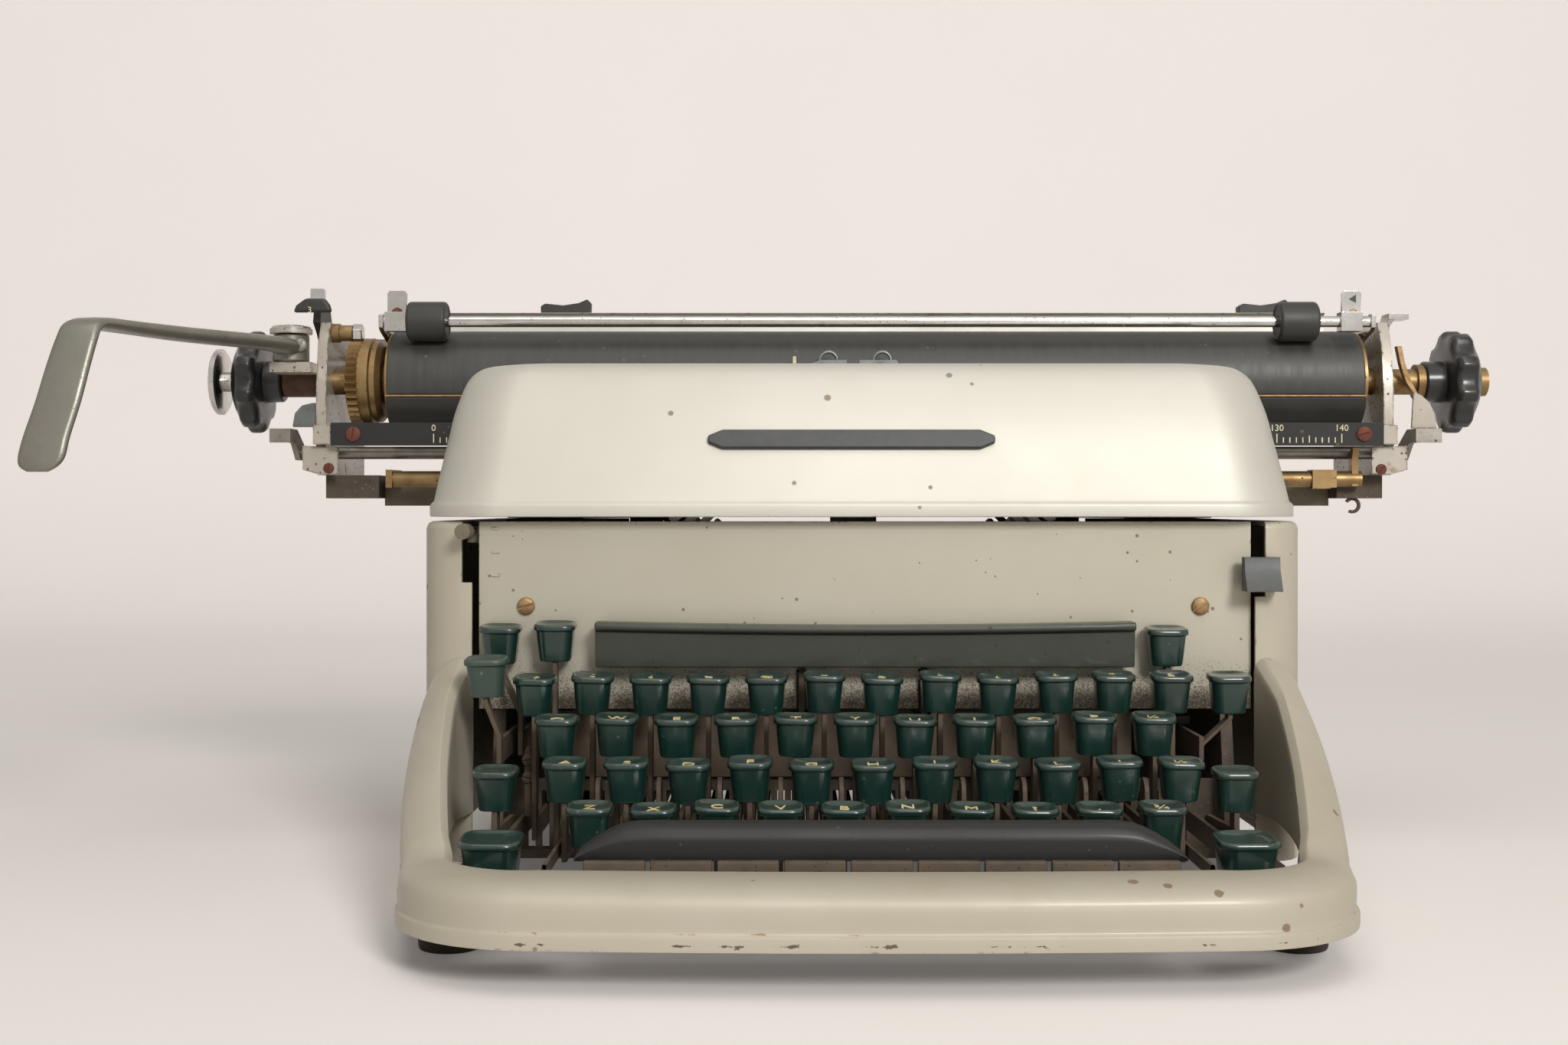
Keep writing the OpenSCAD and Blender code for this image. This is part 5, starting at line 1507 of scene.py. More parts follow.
@dataclass
class Keyboard:
    """Keys, bars and their levers.

    Attributes:
        pitch: Distance between neighbouring levers.
        left: Place of the first lever.
        row_y: Places of the rows.
        row_top: Heights of the rows' key tops.
        row_step: First lever of each row.
        legends: Letters of each row.
        cap: Width, depth and height of a cap.
        shift_cap: The same of a shift key's cap.
        upper_y: Place of the keys on the upper shaft.
        chance: Draws how far each cap sits askew.
    """

    pitch: float = 4.7625
    left: float = -109.0
    row_y: tuple[float, ...] = (55.0, 74.0, 93.0, 112.0)
    row_top: tuple[float, ...] = (44.0, 55.5, 67.0, 78.5)
    row_step: tuple[int, ...] = (5, 3, 2, 0)
    legends: tuple[tuple[str, ...], ...] = (
        tuple("ZXCVBNM?.") + ("¾",), tuple("ASDFGHJKL;") + ("½",), tuple("QWERTYUIOP") + ("¼",),
        ("+\n1", "\"\n2", "/\n3", "%\n4", "@\n5", "_\n6", "&\n7", "'\n8", "(\n9", ")\n0", "*\n-", "£\n="),
    )
    cap: Point = (14.0, 12.5, 12.5)
    shift_cap: Point = (18.8, 17.0, 11.0)
    upper_y: float = 126.0
    chance: random.Random = field(default_factory=lambda: random.Random(11))

    def key_x(self, row: int, column: int) -> float:
        """Gives the place of a key from its row and column."""
        return self.left + (self.row_step[row] + 4 * column) * self.pitch

    def cap_shape(self, width: float, depth: float, height: float) -> Shape:
        """Shapes a key cap with its top centred on the origin.

        Args:
            width: Width of the top.
            depth: Depth of the top.
            height: Height of the cap.

        Returns:
            The shape.
        """
        clear_selection()
        bpy.ops.mesh.primitive_plane_add(size=1.0)
        cap = Shape(bpy.context.object)
        levels = [
            (-height, 3.8, 3.0), (-height + 0.5, 3.4, 2.6), (-2.5, 1.6, 1.6), (-2.1, 1.3, 1.3),
            (-2.0, 0.3, 0.3), (-1.7, 0.0, 0.0), (-0.9, 0.0, 0.0), (-0.4, 0.35, 0.35), (-0.1, 1.0, 1.0),
            (0.0, 1.7, 1.7), (-0.1, 2.5, 2.5), (-0.45, 4.0, 4.0), (-0.75, 6.4, 6.2), (-0.9, 9.5, 9.0),
        ]
        with cap.edit():
            everything()
            bpy.ops.transform.resize(value=(width - levels[0][1], depth - levels[0][2], 1.0))
            bpy.ops.transform.translate(value=(0, 0, levels[0][0]))
            bpy.ops.mesh.bevel(offset=0.24 * depth, segments=4, affect="VERTICES")
            for (low, less_x, less_y), (high, next_x, next_y) in zip(levels, levels[1:]):
                extrude((0, 0, high - low))
                scale = ((width - next_x) / (width - less_x), (depth - next_y) / (depth - less_y), 1.0)
                bpy.ops.transform.resize(value=scale, center_override=(0, 0, high))
            everything()
            bpy.ops.mesh.normals_make_consistent(inside=False)
        return cap.smooth(55.0)

    def seat(self, x: float, y: float, top: float, sway: float = 1.0) -> Matrix:
        """Gives the place of a cap, a little askew as on an old machine.

        Args:
            x: Place across.
            y: Place back.
            top: Height of its top.
            sway: Strength of the skew.

        Returns:
            The matrix.
        """
        turn = Matrix.Rotation(math.radians(self.chance.uniform(-2.2, 2.2) * sway), 4, "Z")
        roll = Matrix.Rotation(math.radians(self.chance.uniform(-1.6, 1.6) * sway), 4, "Y")
        nod = Matrix.Rotation(math.radians(5.5 + self.chance.uniform(-1.2, 1.2) * sway), 4, "X")
        return Matrix.Translation((x, y, top + self.chance.uniform(-0.7, 0.5) * sway)) @ turn @ roll @ nod

    def fingers(self) -> None:
        """Builds caps, legends and levers of the character keys, finger by finger."""
        model = self.cap_shape(*self.cap)
        for finger in FINGERS:
            caps, letters, levers = [], [], []
            for row, columns in enumerate(finger.columns):
                for column in columns:
                    x, y, top = self.key_x(row, column), self.row_y[row], self.row_top[row]
                    levers.append(x)
                    place = self.seat(x, y, top - 0.15 + (0.7 if row == 0 else 0.0))
                    caps.append(model.twin(place))
                    legend = self.legends[row][column]
                    size = 6.0 if row < 3 else 4.4
                    drop = Matrix.Translation((0.0, -0.4 if row < 3 else 0.2, -0.8))
                    letters.append(Shape.text(legend, size, False, 0.2).moved(place @ drop))
            node = "keys_" + finger.name
            hand_over(joined(caps), "caps_" + finger.name, finger.body, KEY_GREEN, [node])
            hand_over(joined(letters), "legends_" + finger.name, finger.body, GOLD_INK)
            blades = Shape.refined(node, 0.18, lambda corners: any(
                all(abs(c.x - x) < 0.9 for c in corners) for x in levers))
            humps = [self.hump(self.key_x(0, column)) for column in finger.columns[0]]
            steel = joined([blades, *humps])
            hand_over(steel, "levers_" + finger.name, finger.body, DUSTY_STEEL)
        model.discard()

    def hump(self, x: float) -> Shape:
        """Makes the rounded hump on a front row lever, behind its cap.

        Args:
            x: Place of the lever across.

        Returns:
            The shape.
        """
        outline = [(x - 0.8, 78.0, 30.0), *[(x - 0.8, y, z) for y, z in arc((83.0, 44.0), 4.6, 180, 0, 8)],
                   (x - 0.8, 88.0, 30.0)]
        return Shape.plate(outline, (1.6, 0, 0)).round_edges(0.3)

    def back_plates(self) -> None:
        """Builds the dusty plates behind the keys, the bracket beside them and the front sill."""
        foot, top, cut = 41.0, 64.4, 2
        plates = [Shape.sheet([(low, foot), (low, top - cut), (low + cut, top), (high - cut, top),
                               (high, top - cut), (high, foot)], 136.2, 1.6).round_edges(0.3)
                  for low, high in ((-101.0, -23.6), (-18.4, 17.9), (23.1, 92.0))]
        strip = Shape.sheet([(-112.6, 31.4), (-112.6, 52.5), (-112.2, 54.0), (-110.6, 54.0), (-110.2, 52.5),
                             (-110.2, 31.4)], 112.0, 4).round_edges(0.3)
        heads = [front_screw((-111.4, 112.0, z), 1.9, 1.3, turn) for z, turn in ((50.2, 10.0), (44.4, -15.0))]
        sill = [Shape.box((low, 24.6, 25.0), (low + 17.6, 27.6, 33.0)).round_edges(0.5)
                for low in (-84.0 + 19.0 * i for i in range(9))]
        for name, shapes in (("back_plates", plates), ("lever_bracket", [strip, *heads]), ("front_sill", sill)):
            hand_over(joined(shapes), name, Body.FRAME, DUSTY_STEEL)

    def outer_keys(self) -> None:
        """Builds the shift keys, their locks and the keys on the upper shaft."""
        left, right = self.left - self.pitch, self.left + 46 * self.pitch
        wide, plain = self.cap_shape(*self.shift_cap), self.cap_shape(*self.cap)
        rows = (
            ("left_shift_key", Body.SHIFT, wide, left, 50.0, 35.7, KEY_GREEN),
            ("right_shift_key", Body.SHIFT, wide, right, 50.0, 35.7, KEY_GREEN),
            ("left_shift_lock", Body.LEFT_LOCK, plain, left - 2.4, 74.0, 52.5, KEY_GREEN),
            ("right_shift_lock", Body.RIGHT_LOCK, plain, right + 2.4, 74.0, 52.5, KEY_GREEN),
            ("tab_set_key", Body.TAB_SET, plain, self.left - 13.5, self.upper_y, 93.5, KEY_GREEN),
            ("tab_clear_key", Body.TAB_CLEAR, plain, self.left + 5, self.upper_y, 94.8, KEY_GREEN),
            ("margin_set_key", Body.MARGIN_SET, plain, right - 8.2, self.upper_y, 92.7, KEY_GREEN),
            ("margin_release_key", Body.MARGIN_RELEASE, plain, self.left - 15, 105.0, 84.5, FADED_GREEN),
            ("back_space_key", Body.BACK_SPACE, plain, right + 9.5, 112.0, 78.5, KEY_GREEN),
        )
        for node, body, model, x, y, top, finish in rows:
            cap = model.twin(self.seat(x, y, top - 0.1, 0.6))
            hand_over(cap, node + "_cap", body, finish, [node])
            height, reach = (self.shift_cap[2], 9.5) if model is wide else (self.cap[2], 7.1)
            blade = Shape.refined(node, 0.18, lambda corners: not all(
                c.z > top - height - 0.02 and abs(c.x - x) < reach and abs(c.y - y) < reach for c in corners))
            hand_over(blade, node + "_lever", body, DUSTY_STEEL)
        wide.discard()
        plain.discard()

    def tab_bar(self) -> None:
        """Builds the tabulator bar with its overhanging top and its two arms."""
        y0, y1, z0, z1 = 119.5, 129.5, 79.3, 94.9
        rings = []
        for i in range(-12, 13):
            s = i / 12
            back = 0.35 if abs(i) == 12 else 0.0
            top = z1 - 1.2 * (1 - s * s)
            rings.append([(0.2 + s * 90.5, y, z) for y, z in (
                (y0 + 3.2 + back, z0 + 0.3), (y1 - 0.3, z0 + back), (y1, top - 0.4), (y1 - 0.8, top),
                (y0 + 1.4, top), (y0 + 0.4, top - 0.3), (y0 + back, top - 1.0), (y0 + back, top - 2.0),
                (y0 + 0.5, top - 2.6), (y0 + 2.2 + back, top - 3.0))])
        bar = Shape.loft(rings, closed=True, capped=True).round_edges(0.4, 2, 50.0)
        hand_over(bar, "tab_bar_grip", Body.TABULATOR, BAR_GREEN, ["tab_bar"])
        arms = Shape.refined("tab_bar", 0.25, lambda corners: all(
            abs(abs(c.x + 0.25) - 20.75) < 1.05 for c in corners) and any(c.y > 129.3 for c in corners))
        hand_over(arms, "tab_bar_arms", Body.TABULATOR, DUSTY_STEEL)

    def space_bar(self) -> None:
        """Builds the space bar with its sloping ends and its two arms."""
        y0, y1, z0, mid = 29.0, 43.0, 32.2, 0.7
        slope = [(-87.75, 1.2), (-86.0, 3.0), (-81.75, 6.0), (-74.75, 9.4), (-67.75, 10.3), (-60.0, 10.3)]
        heights = flowing(slope, 3)
        stations = heights + [(-x, h) for x, h in reversed(heights)]
        rings = []
        for x, h in stations:
            line = flowing([(y0, z0 + h * 0.55), (y0 + 0.8, z0 + h * 0.82), (y0 + 3.2, z0 + h * 0.98),
                            (y0 + 7.0, z0 + h), (y1 - 3.0, z0 + h * 0.98), (y1 - 0.6, z0 + h * 0.86)], 2)
            line = [(y0 + 0.6, z0), *line, (y1, z0 + h * 0.5), (y1 - 0.3, z0)]
            rings.append([(mid + x, y, z) for y, z in line])
        bar = Shape.loft(rings, closed=True, capped=True).smooth(50.0)
        hand_over(bar, "space_bar_grip", Body.SPACER, SPACER_BLACK, ["space_bar"])
        arms = Shape.refined("space_bar", 0.2, lambda corners: any(c.y > 43.2 for c in corners))
        hand_over(arms, "space_bar_arms", Body.SPACER, DUSTY_STEEL)

    def build(self) -> None:
        """Builds the keyboard."""
        self.fingers()
        self.outer_keys()
        self.back_plates()
        self.tab_bar()
        self.space_bar()
        refine("ribbon_selector", Body.RIBBON_KNOB, OLIVE_STEEL, 0.4)
        refine("touch_selector", Body.TOUCH_KNOB, BADGE, 0.4)
        for node in ("key_comb", "base_frame"):
            dress(node, FRAME_BLACK)
        dress("lever_shafts", BARE_STEEL)


# Typing works


@dataclass
class TypingWorks:
    """Basket, guide, rails, spools and drive under the cover."""

    def build(self) -> None:
        """Builds the works."""
        dress("type_segment", DUSTY_STEEL)
        dress("type_bars", BARE_STEEL)
        refine("type_guide", Body.FRAME, BLUE_STEEL, 0.25)
        refine("carriage_rails", Body.FRAME, BARE_STEEL, 0.3)
        refine("mainspring_drum", Body.DRUM, BARE_STEEL, 0.3)
        finger = Shape.box((-23.6, 226.9, 183.0), (-22.2, 227.7, 192.2)).round_edges(0.3)
        hand_over(finger, "card_finger", Body.FRAME, CREAM_INK)
        for side, body in ((-1, Body.LEFT_SPOOL), (1, Body.RIGHT_SPOOL)):
            node = "ribbon_spool_" + ("left" if side < 0 else "right")
            self.spool((side * 102.0, 168.0, 129.5), body, node)

    def spool(self, foot: Point, body: Body, node: str) -> None:
        """Builds a ribbon spool with its wound ribbon.

        Args:
            foot: Middle of its lower face.
            body: Body that it rides on.
            node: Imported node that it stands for.
        """
        flanges = [(0, 3.05), (0, 24), (1, 24), (1, 6), (14, 6), (14, 24), (15, 24), (15, 6), (17, 5.6),
                   (17, 3.05)]
        reel = Shape.lathe(flanges, foot, (0, 0, 1), 48).round_edges(0.2)
        hand_over(reel, node + "_reel", body, DULL_BLACK, [node])
        turns = [(1.05 + 12.9 * i / 20, 19.4 + (0.25 if i % 2 else 0.0)) for i in range(21)]
        ribbon = Shape.lathe([(1.05, 6.1), *turns, (13.95, 6.1)], foot, (0, 0, 1), 64).smooth(20.0)
        hand_over(ribbon, node + "_ribbon", body, RIBBON)


# Carriage


@dataclass
class Carriage:
    """The sliding carriage with its platen, knobs, levers and bail.

    Attributes:
        axis_y: Place of the platen's axis.
        axis_z: Height of the platen's axis.
        left: Left end of the platen's rubber.
        right: Right end of the platen's rubber.
        radius: Radius of the platen.
        knob_radius: Radius of the knobs.
        flutes: Finger hollows round a knob.
        flute_way: Distance of a hollow's middle from the knob's axis.
        flute: Radius of a hollow.
        bail_y: Place of the paper bail's rod.
        bail_z: Height of the paper bail's rod.
        scale_from: Place of the margin scale's first mark.
        typing_pitch: Distance between neighbouring marks.
    """

    axis_y: float = 252.0
    axis_z: float = 183.8
    left: float = -183.5
    right: float = 201.8
    radius: float = 20.3
    knob_radius: float = 20.6
    flutes: int = 9
    flute_way: float = 26.2
    flute: float = 8.0
    bail_y: float = 235.0
    bail_z: float = 206.5
    scale_from: float = -164.2
    typing_pitch: float = 2.54

    def axis_point(self, x: float) -> Point:
        """Gives the point of the platen's axis at a place across."""
        return (x, self.axis_y, self.axis_z)

    def platen(self) -> None:
        """Builds the rubber roller and its shaft with ratchet and hubs."""
        long, r = self.right - self.left, self.radius
        profile = [(0, 5.3), (0, r - 0.8), (0.25, r - 0.25), (0.8, r),
                   *[(long * i / 24, r) for i in range(1, 24)],
                   (long - 0.8, r), (long - 0.25, r - 0.25), (long, r - 0.8), (long, 5.3)]
        roller = Shape.lathe(profile, self.axis_point(self.left), (1, 0, 0), 96).smooth(40.0)
        hand_over(roller, "platen_roller_rubber", Body.PLATEN, PLATEN_RUBBER, ["platen"])
        refine("platen_shaft", Body.PLATEN, BRASS, 0.25)
        sleeve = Shape.lathe([(0.0, 5.25), (0.0, 5.9), (0.4, 6.2), (15.6, 6.2), (16.0, 5.9), (16.0, 5.25)],
                             self.axis_point(-228.4), (1, 0, 0)).smooth()
        hand_over(sleeve, "platen_shaft_sleeve", Body.PLATEN, RUSTY_SHAFT)

    def knob(self, inner: float, outer: float, bore: float, node: str) -> None:
        """Builds a fluted knob with a hub, a rim and a domed face.

        Args:
            inner: Place of the hub's end.
            outer: Place of the domed face.
            bore: Radius of the bore.
            node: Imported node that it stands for.
        """
        r, w, side = self.knob_radius, abs(outer - inner), math.copysign(1.0, outer - inner)
        rim, dome = 0.38 * w, w - 4.4
        profile = [(0.0, bore), (0.0, 7.6), (0.6, 8.2), (rim - 0.6, 8.4), (rim - 0.1, 9.2),
                   (rim - 0.1, r - 6.4), (rim, r - 2.6), (rim + 0.5, r - 1.3), (rim + 1.5, r - 0.3), (rim + 2.6, r),
                   ((rim + dome) / 2, r), (dome - 2.4, r), (dome - 1.4, r - 0.3), (dome - 0.5, r - 1.3),
                   (dome, r - 2.6), (dome + 0.8, r - 4.4), (dome + 2.2, r - 7.0), (dome + 3.4, r - 10.0),
                   (w - 0.3, r - 12.6), (w, r - 14.4), (w, bore)]
        body = Shape.lathe(profile, self.axis_point(inner), (side, 0, 0), 144)
        for vertex in body.obj.data.vertices:
            offset = Vector((0.0, vertex.co.y - self.axis_y, vertex.co.z - self.axis_z))
            turn = math.atan2(offset.z, offset.y) % (math.tau / self.flutes) - math.pi / self.flutes
            reach = self.flute_way * math.sin(turn)
            share = (offset.length - (r - 6.4)) / 6.4
            if abs(reach) < self.flute and share > 0.0:
                limit = self.flute_way * math.cos(turn) - math.sqrt(self.flute * self.flute - reach * reach)
                fitted = offset.normalized() * (r - 6.4 + share * (min(limit, r) - (r - 6.4)))
                vertex.co.y, vertex.co.z = self.axis_y + fitted.y, self.axis_z + fitted.z
        body.smooth(42.0)
        hand_over(body, node + "_grip", Body.PLATEN, BLACK_PLASTIC, [node])

    def return_lever(self) -> None:
        """Builds the long carriage return lever with its drooping paddle."""
        hub = (-221.0, 233.0)
        arm, tip = 195.65, (-264.25, 97.0)
        run = flowing([
            (hub[0], hub[1] - 2, arm, 11, 6, 0), (hub[0] - 3, hub[1] - 22, arm + 0.4, 10, 5.4, 0),
            (hub[0] - 17, hub[1] - 73, arm - 1.2, 9.5, 5, 0),
            (tip[0] + 16.2, tip[1] + 31, arm - 1.6, 10, 4.2, 2),
            (tip[0] + 10.8, tip[1] + 14, arm - 1.8, 12, 3.8, 12),
            (tip[0] + 9, tip[1] + 7.5, arm - 3.4, 13.2, 3.4, 45),
            (tip[0] + 8, tip[1] + 4.5, arm - 8, 13.9, 3.2, 75),
            (tip[0] + 6, tip[1] + 2, arm - 17.6, 14.5, 3.1, 84),
            (tip[0] + 4, tip[1] - 0.8, arm - 28.6, 14.9, 3, 84),
            (tip[0] + 1.3, tip[1] - 3.2, 156.0, 15.2, 3, 86),
            (tip[0] + 0.2, tip[1] - 4.5, 149.5, 15.2, 3, 88),
            (tip[0] - 0.6, tip[1] - 5, 146.4, 12.4, 2.8, 88),
            (tip[0] - 0.9, tip[1] - 5, 144.7, 7.0, 2.2, 88),
        ], 4)
        rings = []
        for x, y, z, w, t, tilt in run:
            a = math.radians(tilt)
            half = [(-w / 2, 0.0), (-w / 2 + 0.6, t * 0.36), (-w / 2 + 2.0, t * 0.5), (0.0, t * 0.54),
                    (w / 2 - 2.0, t * 0.5), (w / 2 - 0.6, t * 0.36), (w / 2, 0.0)]
            section = half + [(p, -q) for p, q in reversed(half[1:-1])]
            rings.append([(x + p, y - q * math.sin(a), z + q * math.cos(a)) for p, q in section])
        blade = Shape.loft(rings, closed=True, capped=True).smooth(60.0)
        boss = Shape.lathe([(0, 3.05), (0, 6.4), (0.6, 7.0), (10.1, 7.0), (10.7, 6.4), (10.7, 3.05)],
                           (hub[0], hub[1], 190.3), (0, 0, 1), 40).smooth(40.0)
        lever = joined([blade, boss])
        hand_over(lever, "return_lever_blade", Body.RETURN, SATIN_GREY, ["return_lever"])

    def bail(self) -> None:
        """Builds the paper bail and its two rollers."""
        refine("paper_bail", Body.BAIL, CHROME, 0.3)
        profile = [(0.4, 2.3), (0.4, 6.2), (0.0, 6.8), (0.5, 7.5), (1.3, 7.8), (14.2, 7.8), (15.0, 7.5),
                   (15.5, 6.8), (15.1, 6.2), (15.1, 2.3)]
        pair = joined([Shape.lathe(profile, (x, self.bail_y, self.bail_z), (1, 0, 0), 48).smooth(40.0)
                       for x in (self.left + 8.3, self.right - 34.3)])
        hand_over(pair, "bail_roller_rubber", Body.ROLLERS, DULL_BLACK, ["bail_rollers"])

    def scale(self) -> None:
        """Builds the margin scale with its marks and numbers."""
        plain = Shape.box((-204.6, 229.0, 157.4), (208.0, 231.0, 166.4)).round_edges(0.25)
        hand_over(plain, "scale_band", Body.CARRIAGE, SCALE_BLUE, ["margin_scale"])
        marks = []
        for i in range(0, 141):
            x = self.scale_from + self.typing_pitch * i
            high = 162.0 if i % 10 == 0 else 161.3 if i % 5 == 0 else 160.6
            marks.append(Shape.box((x - 0.2, 228.93, 158.5), (x + 0.2, 229.1, high)))
        for i in range(0, 15):
            number = Shape.text(str(10 * i), 3.6, True, 0.15)
            x = self.scale_from + self.typing_pitch * 10 * i
            marks.append(number.moved(Matrix.Translation((x, 228.98, 164.2))))
        hand_over(joined(marks), "scale_marks", Body.CARRIAGE, CREAM_INK)
        heads = [front_screw((x, 229.0, 161.9), 3.0, 1.3, turn) for x, turn in ((-195.6, 80.0), (200.2, 15.0))]
        hand_over(joined(heads), "scale_screws", Body.CARRIAGE, RED_RUST)

    def bed(self) -> None:
        """Builds the bed with its dark end blocks."""
        def at_end(corners: list[Vector]) -> bool:
            return all(c.x < -188.7 for c in corners) or all(c.x > 193.7 for c in corners)
        middle = Shape.refined("carriage_bed", 0.4, lambda corners: not at_end(corners))
        hand_over(middle, "carriage_bed_piece", Body.CARRIAGE, OLIVE_STEEL, ["carriage_bed"])
        ends = Shape.refined("carriage_bed", 0.4, at_end)
        hand_over(ends, "carriage_bed_ends", Body.CARRIAGE, FRAME_BLACK)
        edge = Shape.rod((self.left, 231.6, 177.0), (self.right, 231.6, 177.0), 0.45, 12).smooth()
        hand_over(edge, "feed_pan_edge", Body.CARRIAGE, OLD_BRASS)

    def left_trim(self) -> None:
        """Adds screws, studs and plates at the carriage's left end."""
        grip = Shape.sheet([(-221.4, 210.4), (-220.2, 213.2), (-216.4, 216.0), (-208.8, 216.0), (-206.9, 213.4),
                            (-206.0, 210.4)], 236.4, 3.2).round_edges(1.2, 3)
        hand_over(grip, "spacing_grip", Body.SPACING, DULL_BLACK)
        tab = Shape.box((-214.6, 237.2, 215.4), (-208.6, 238.4, 219.9)).round_edges(0.4)
        hand_over(tab, "spacing_tab", Body.SPACING, CHROME)
        mark = Shape.text("3", 3.4, True, 0.2).moved(Matrix.Translation((-214.6, 236.4, 211.2)))
        hand_over(mark, "spacing_mark", Body.SPACING, CREAM_INK)
        profile = [(0.0, 0.0), (0.0, 7.6), (0.7, 7.6), (1.1, 7.0), (1.1, 4.2), (1.5, 3.8), (1.5, 0.0)]
        cap = Shape.lathe(profile, (-221.0, 233.0, 203.3), (0, 0, 1), 40).smooth(40.0)
        hand_over(cap, "hub_cap", Body.CARRIAGE, CHROME)
        screw = slotted_screw((-216.2, 227.9, 196.6), (0.2, -1, 0), 2.7, 1.3, 60.0)
        hand_over(screw, "lever_screw", Body.RETURN, SATIN_GREY)
        profile = [(0.0, 0.0), (0.0, 3.4), (0.4, 3.8), (3.2, 3.8), (3.4, 3.2), (8.4, 3.2), (8.4, 0.0)]
        stud = Shape.lathe(profile, (-208.1, 247.0, 203.0), (1, 0, 0), 32).smooth(40.0)
        hand_over(stud, "plate_stud", Body.CARRIAGE, BRASS)
        profile = [(0.0, 0.0), (0.0, 3.4), (0.5, 3.8), (3.6, 3.8), (4.0, 3.3), (4.0, 0.0)]
        nut = Shape.lathe(profile, (-199.7, 247.0, 203.0), (1, 0, 0), 6).round_edges(0.3)
        hand_over(nut, "plate_nut", Body.CARRIAGE, CHROME)
        shield = Shape.sheet([(-221.8, 166.0), (-221.0, 170.5), (-218.2, 173.6), (-214.0, 174.6),
                              (-212.5, 174.6), (-212.5, 165.0), (-221.8, 165.0)], 238.2, 1.2).round_edges(0.3)
        hand_over(shield, "release_shield", Body.RELEASE, BLUE_STEEL)
        rust = front_screw((-179.4, 233.8, 209.6), 2.3, 0.9, 35.0)
        hand_over(rust, "bail_left_screw", Body.BAIL, RED_RUST)
        bracket = front_screw((-206.6, 234.6, 148.6), 2.1, 0.9, 80.0)
        hand_over(bracket, "left_bracket_screw", Body.CARRIAGE, RED_RUST)

    def right_trim(self) -> None:
        """Adds screws, links and a hook at the carriage's right end."""
        screw = front_screw((197.2, 233.8, 209.3), 2.1, 0.9, 20.0)
        hand_over(screw, "bail_right_screw", Body.BAIL, OLD_BRASS)
        arrow = Shape.sheet([(195.6, 215.2), (198.4, 213.8), (198.4, 217.2)], 233.7, 0.15)
        hand_over(arrow, "bail_arrow", Body.BAIL, DULL_BLACK)
        link = [(216.9, 197.4), (218.4, 190.0), (220.6, 183.0), (223.6, 178.4), (225.4, 178.4), (222.4, 184.4),
                (220.2, 191.0), (218.9, 197.4)]
        strip = Shape.sheet(link, 241.2, 3.4).round_edges(0.3)
        hand_over(strip, "release_link", Body.CARRIAGE, OLD_BRASS)
        wing = [(219.6, 164.2), (229.6, 164.2), (229.2, 169.6), (226.6, 174.6), (223.4, 177.4), (220.4, 178.6)]
        white = Shape.sheet(wing, 231.6, 1.3).round_edges(0.3)
        hand_over(white, "release_wing", Body.RELEASE, WHITE_ENAMEL)
        bracket = front_screw((208.6, 234.6, 148.2), 2.1, 0.9, 50.0)
        hand_over(bracket, "right_bracket_screw", Body.CARRIAGE, RED_RUST)
        ring = [*arc((200.8, 134.0), 3.3, 150, -120, 12), *arc((200.8, 134.0), 2.0, -120, 150, 12)]
        hook = Shape.sheet(ring, 246.0, 1.4).round_edges(0.25)
        hand_over(hook, "bed_hook", Body.CARRIAGE, FRAME_BLACK)

    def button(self) -> None:
        """Builds the button in the left knob's face."""
        profile = [(0.9, 0.0), (0.3, 6.0), (0.0, 10.4), (0.6, 12.4), (1.4, 13.3), (3.0, 13.3), (4.2, 11.5),
                   (4.2, 4.0), (12.0, 4.0), (12.0, 0.0)]
        plate = Shape.lathe(profile, self.axis_point(-256.5), (1, 0, 0), 64).smooth(35.0)
        hand_over(plate, "knob_button", Body.BUTTON, CHROME, ["variable_button"])

    def build(self) -> None:
        """Builds the carriage."""
        self.platen()
        self.knob(-228.5, -248.4, 5.25, "left_knob")
        self.knob(230.3, 252.0, 5.25, "right_knob")
        self.button()
        self.return_lever()
        self.bail()
        self.scale()
        rows = (
            ("left_end_plate", Body.CARRIAGE, Slot.WHITE_ENAMEL, WHITE_ENAMEL, 0.4),
            ("right_end_plate", Body.CARRIAGE, Slot.WHITE_ENAMEL, WHITE_ENAMEL, 0.4),
            ("paper_table", Body.CARRIAGE, Slot.WHITE_ENAMEL, PALE_TABLE, 0.4),
            ("feed_pan", Body.CARRIAGE, Slot.FRAME_BLACK, DULL_BLACK, 0.2),
            ("guide_tube", Body.CARRIAGE, Slot.BRASS, BRASS, 0.3),
            ("margin_rack", Body.CARRIAGE, Slot.STEEL, BARE_STEEL, 0.2),
            ("left_margin_stop", Body.LEFT_STOP, Slot.BLACK_PLASTIC, DULL_BLACK, 0.5),
            ("right_margin_stop", Body.RIGHT_STOP, Slot.BLACK_PLASTIC, DULL_BLACK, 0.5),
            ("line_space_lever", Body.SPACING, Slot.BLACK_PLASTIC, DULL_BLACK, 0.4),
            ("paper_release_lever", Body.PAPER_RELEASE, Slot.CHROME, CHROME, 0.4),
            ("carriage_release", Body.RELEASE, Slot.STEEL, BARE_STEEL, 0.4),
        )
        for node, body, slot, finish, width in rows:
            refine(node, body, finish, width)
        self.bed()
        self.left_trim()
        self.right_trim()


# Studio


